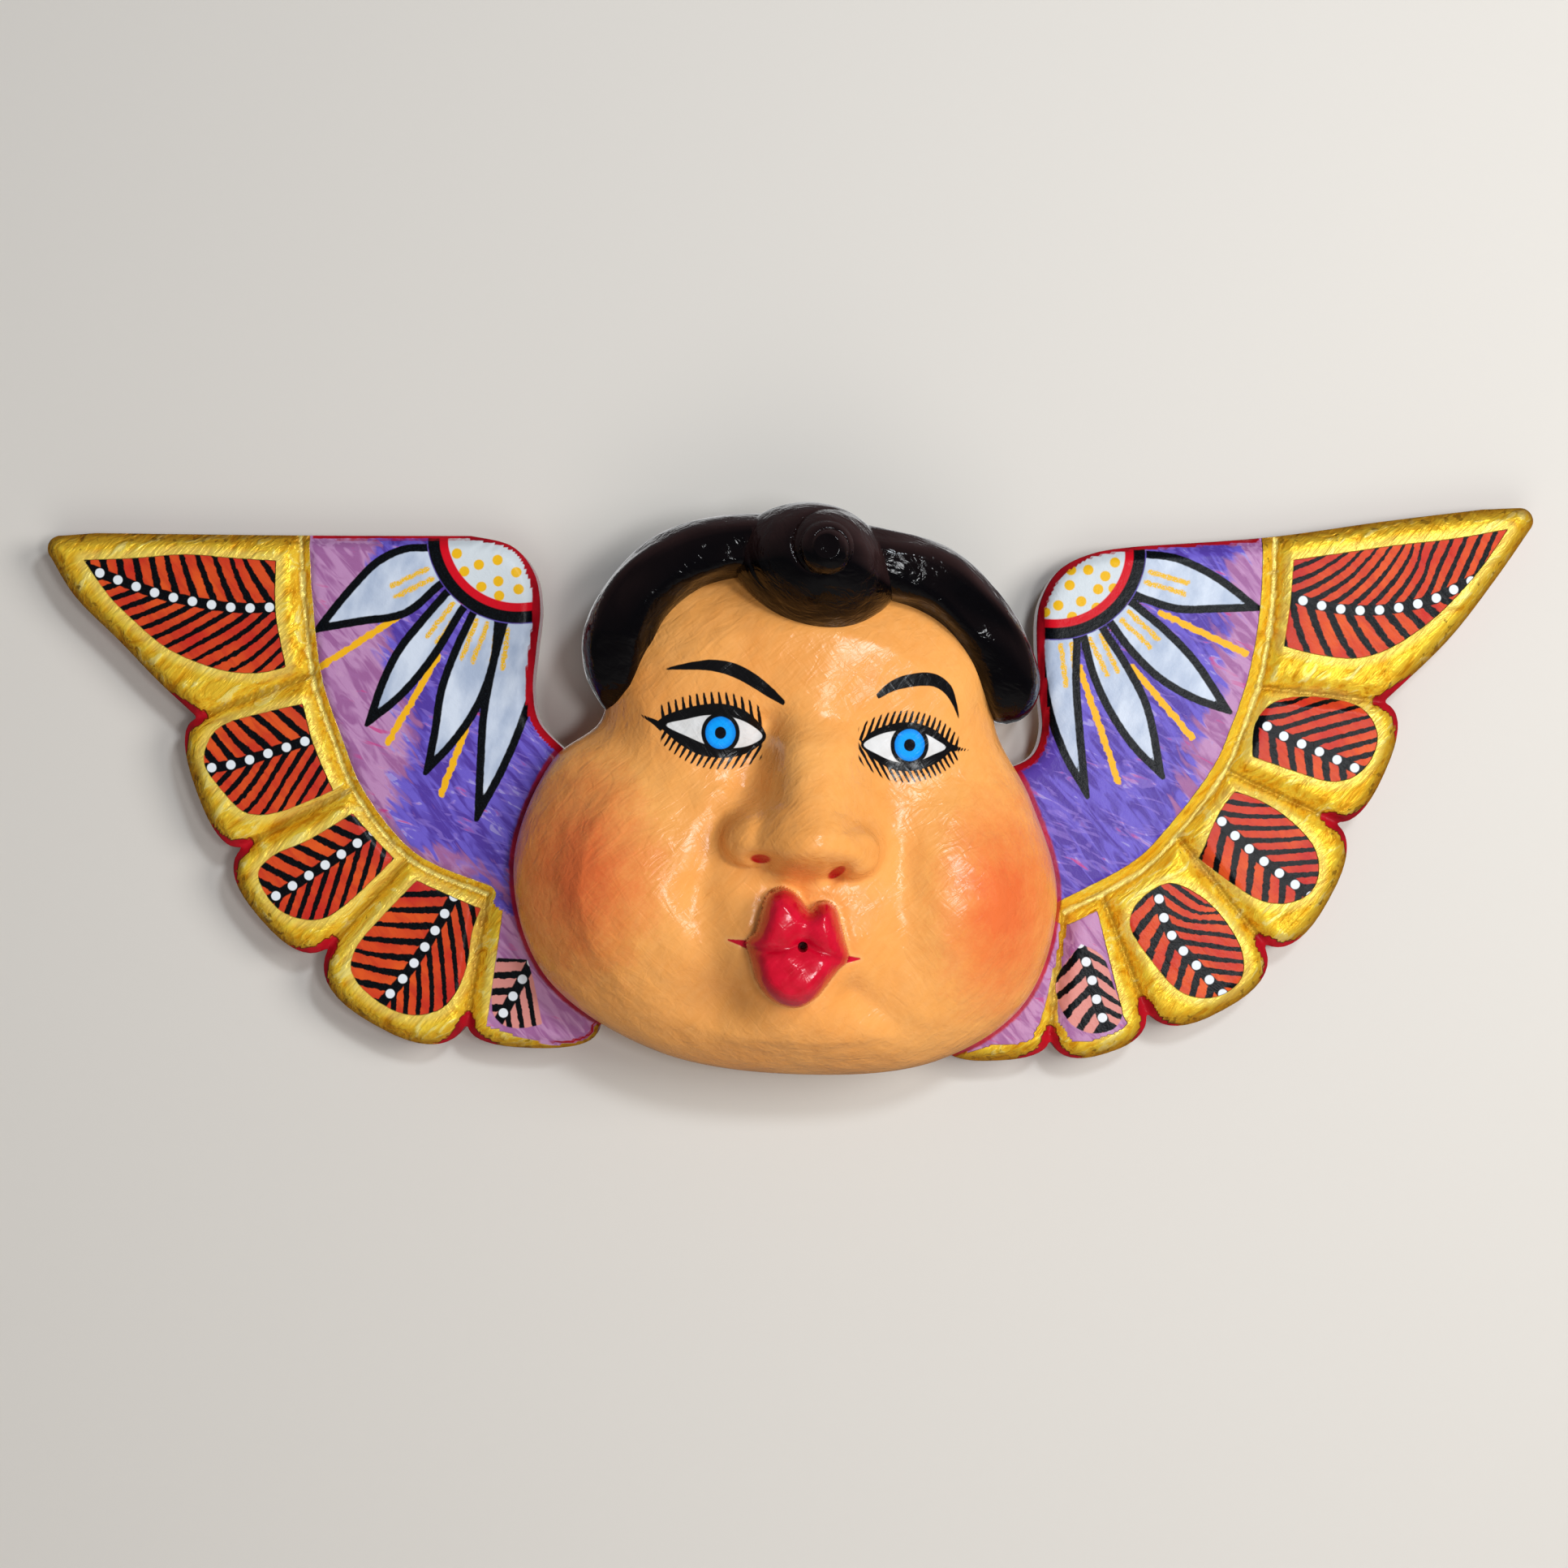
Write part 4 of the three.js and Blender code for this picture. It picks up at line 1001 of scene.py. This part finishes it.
def wing_paint(name, lean, pink_width):
    paint = Paint(name)
    wobble = (paint.spread(0.45, 2) - 0.5) * 0.9
    fine = paint.spread(1.6, 3)
    arc_away, gilt, pad = paint.read("arc_away"), paint.read("gilt"), paint.read("pad")
    rim_away, notch_away = paint.read("rim"), paint.read("notch")

    # Violet field with brush strokes, a pink band by the arc and magenta touches
    strokes = paint.spread(0.26, 2, (1, 1, 0.2), -0.7, 0.6, bend=0.8)
    cross = paint.spread(0.3, 2, (0.24, 1, 1), 0.4, 0.6, bend=0.8)
    drawn_in = (paint.z * -1).above(66, 34) * 22
    near_arc = arc_away + drawn_in + (strokes * 1.3 + paint.spread(0.06, 2) - 1.15) * 22
    pink_share = (near_arc.below(pink_width, 4) * 0.85).most(paint.read("by_cheek") * 0.9)
    touches = cross.above(0.66, 0.06) * paint.spread(0.05, 2).above(0.5, 0.2)
    field = paint.layers(
        rgb(82, 60, 156), (strokes.above(0.5, 0.14), rgb(108, 92, 196)),
        (cross.above(0.57, 0.05) * 0.5, rgb(140, 116, 204)),
        ((strokes * cross).above(0.36, 0.03) * 0.4, rgb(186, 180, 226)),
        (pink_share, paint.over(strokes.above(0.5, 0.12), rgb(164, 104, 150), rgb(194, 142, 178))),
        (touches * 0.8, rgb(196, 60, 130)),
    )

    # Daisy: petals with dark outlines and yellow strokes, rays, and a seeded disc with rings
    disc = paint.read("disc")
    petal = paint.read("petal") + wobble * 0.5
    clear = disc.above(34.5, 0.4)
    dark = paint.over(fine.above(0.58, 0.15) * 0.35, rgb(5, 6, 9), rgb(24, 36, 46))
    yellow = (paint.read("vein") + wobble * 2.2).below(0.95, 0.5) * fine.above(0.4, 0.15)
    white = paint.layers(
        rgb(168, 182, 206), (paint.spread(0.12, 4, (1, 1, 0.5), 0.3).above(0.5, 0.3), rgb(206, 216, 232)),
        (yellow, rgb(232, 182, 40)),
    )
    on_seed = (paint.read("seed") + wobble * 0.3).below(2, 0.35)
    field = paint.layers(
        field, ((paint.read("ray") + wobble * 2.4).below(1.25, 0.4), rgb(238, 178, 30)),
        (petal.above(-0.9, 0.35) * clear, dark), (petal.above(2.1, 0.4) * clear, white),
        (disc.below(34.2, 0.5), dark), (disc.below(29.8, 0.4), rgb(206, 16, 34)),
        (disc.below(26.6, 0.4), paint.over(on_seed, rgb(206, 214, 220), rgb(232, 180, 30))),
    )

    # Gold leaf with creases and hatching; its colour is partly random tone and partly painted highlight and
    # shade
    crease = paint.spread(0.14, 3, (1, 1, 0.4), 0.9, 0.55, bend=1.5)
    hatch = paint.spread(0.6, 2, (1, 1, 0.14), 0.75, bend=0.6)
    outer = rim_away.below(3.4, 4)
    gold = paint.layers(
        # Lighter gold where the crinkle bump is high: partly random tone, partly painted highlight on the
        # crests
        rgb(238, 170, 24), ((crease * 0.65 + hatch * 0.35).above(0.48, 0.22), rgb(255, 218, 66)),
        # Darker gold where the crinkle bump is low: partly random tone, partly painted shade in the valleys
        (crease.below(0.36, 0.1) * 0.5, rgb(182, 114, 14)),
        # Pale gold where crease and hatching peak together: painted glints
        (crease.above(0.62, 0.05) * hatch.above(0.42, 0.16) * 0.8, rgb(255, 236, 140)),
        # Pale gold on the flat border beside each panel: a painted highlight
        (paint.read("panel").above(-3, 2.4) * 0.5, rgb(255, 232, 124)),
        # Darker gold on the rounded outer edges: painted shade
        (outer * 0.6, rgb(166, 106, 18)),
        ((paint.spread(0.3, 3) - outer * 0.12).below(0.27, 0.05) * 0.6, rgb(96, 58, 12)),
        # Darker gold down in the grooves between the feathers and the field: painted shade
        (pad.below(0.9, 1.2) * 0.6, rgb(146, 90, 16)),
        # Pale gold along the arc's groove: a painted highlight
        ((arc_away + crease * 4).below(2.8, 0.8) * 0.7, rgb(255, 240, 140)),
    )
    in_gold = (gilt + wobble * 0.6).above(0, 0.35)

    # Feathers: red panels, a beaded spine and barbs
    along, across = paint.read("along"), paint.read("across")
    barbs = (along + abs(across) * lean - across * 0.3 + wobble * 1.8).turns(7.2)
    barbs = (barbs + abs(across) * 0.03 + (fine - 0.5) * 0.4).below(1.75, 0.4)
    bead = ((along - 4.9).turns(7.3) ** 2 + across ** 2) ** 0.5
    warm = paint.layers(
        rgb(196, 44, 34), (paint.spread(0.06, 3).above(0.5, 0.4), rgb(224, 92, 36)),
        (strokes.above(0.56, 0.2) * 0.4, rgb(170, 30, 32)), (arc_away.below(12, 10) * 0.5, rgb(176, 34, 44)),
        (paint.read("feather").above(3.5, 0.1), rgb(214, 140, 132)), (barbs, dark),
        ((abs(across) + wobble * 0.8).below(2, 0.4), dark),
        ((bead + wobble * 0.2).below(1.75, 0.3), rgb(226, 232, 238)),
    )
    on_panel = (paint.read("panel") + wobble * 0.5).above(0, 0.35)

    # Red edges and back
    red = paint.over(paint.spread(0.08, 3).above(0.5, 0.4), rgb(128, 12, 24), rgb(186, 20, 34))
    low = (paint.y + wobble * 1.2).above(-15.2, 0.5)
    rim = (rim_away + paint.z.above(20, 6) * 1.1 + wobble * 0.8).below(2.1, 0.5) * gilt.below(-1, 0.5)
    notch = (rim_away + notch_away * 0.22 + wobble).below(3.2, 0.5)
    notch = notch.most((notch_away + wobble * 2).below(4.2, 0.6) * pad.below(1.2, 0.5))
    by_head = (paint.read("cheek") + wobble).below(2.4, 0.8) * 0.9
    edges = low.most(rim).most(notch).most(by_head)
    behind = paint.y.above(-0.6, 0.4)
    wood = paint.wood(paint.spread(0.5, 4, (0.06, 1, 1), bend=0.6))
    colour = paint.layers(field, (in_gold, gold), (on_panel, warm), (edges, red), (behind, wood))

    on_gold = in_gold * (1 - on_panel) * (1 - edges)
    leaf = (crease * 1.5 + hatch * 0.7) * on_gold
    paint_height = (strokes * 0.12 + fine * 0.05) * (1 - on_gold)
    rough = 0.26 + on_gold * 0.06 + paint.spread(0.3, 3) * 0.08 + behind * 0.3
    return paint.finish(
        Base_Color=colour, Metallic=on_gold * 0.36, Roughness=rough,
        Normal=paint.bump(leaf + paint_height + wobble * 0.15, 0.9), Specular_IOR_Level=0.14,
    )


# Making
skin, hair, wood = skin_paint(), hair_lacquer(), bare_wood()
head = carve_head(skin, hair, wood)
paint_notes_head(head)
left_wing = carve_wing("carved_left_wing", LEFT_WING)
paint_notes_wing(left_wing, LEFT_WING)
cover(left_wing, wing_paint("painted_left_wing", 0.9, 28))
right_wing = carve_wing("carved_right_wing", RIGHT_WING)
paint_notes_wing(right_wing, RIGHT_WING)
cover(right_wing, wing_paint("painted_right_wing", -0.9, 17))
for piece, node, slot in (
    (head, "head", "painted_head"), (left_wing, "left_wing", "painted_wings"),
    (right_wing, "right_wing", "painted_wings"),
):
    only(piece)
    bpy.ops.object.shade_smooth_by_angle(angle=math.radians(42))
    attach(piece, "root")
    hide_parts(node)


# Wall, floor, light and camera
def backdrop(name, size, location, rotation, colour, one_sided):
    bpy.ops.object.select_all(action="DESELECT")
    bpy.ops.mesh.primitive_plane_add(size=size, location=location, rotation=rotation)
    plane = added(name)
    paint = Paint(name)
    coat = paint.node("ShaderNodeBsdfDiffuse", {}, {"Color": colour})
    if one_sided:
        back = paint.node("ShaderNodeNewGeometry", {}, {}, "Backfacing")
        clear = paint.node("ShaderNodeBsdfTransparent", {}, {})
        coat = paint.node("ShaderNodeMixShader", {}, {0: back, 1: coat, 2: clear})
        plane.visible_diffuse = plane.visible_glossy = plane.visible_shadow = False
    paint.tree.links.new(coat.socket, paint.out.inputs["Surface"])
    plane.data.materials.append(paint.material)


backdrop("wall", 4, (0, 0.0006, 0), (math.radians(90), 0, 0), rgb(216, 212, 206), True)
backdrop("floor", 6, (0, 0, -1.6), (0, 0, 0), rgb(236, 232, 226), False)


def lamp(name, location, size, power, colour, mirrored=True):
    bpy.ops.object.light_add(type="AREA", location=location)
    light = added(name)
    light.data.shape, light.data.size, light.data.energy, light.data.color = "DISK", size, power, colour
    light.rotation_euler = (Vector((0, -0.02, -0.06)) - Vector(location)).to_track_quat("-Z", "Y").to_euler()
    light.visible_glossy = mirrored


lamp("key_light", (1.15, -1.25, 0.2), 0.8, 16, (1.0, 0.98, 0.95), False)
lamp("side_light", (0.4, -1.5, -0.1), 0.24, 4.5, (0.96, 0.98, 1.0))
lamp("upper_light", (0.5, -1.35, 0.55), 0.22, 6.5, (0.86, 0.93, 1.0))
lamp("fill_light", (0.1, -1.5, -0.9), 1.3, 6, (1.0, 0.94, 0.88), False)
lamp("back_light", (0, 2.2, 0.5), 1.5, 4, (1.0, 1.0, 1.0))

world = bpy.data.worlds.new("studio")
bpy.context.scene.world = world
world.use_nodes = True
world.node_tree.nodes["Background"].inputs[0].default_value = (0.86, 0.87, 0.9, 1)
world.node_tree.nodes["Background"].inputs[1].default_value = 0.16

bpy.ops.object.camera_add(location=(0, -1.2, -0.0625), rotation=(math.radians(90), 0, 0))
camera = added("camera")
camera.data.lens, camera.data.sensor_width = 72, 36
bpy.context.scene.camera = camera
bpy.context.scene.view_settings.view_transform = "Standard"
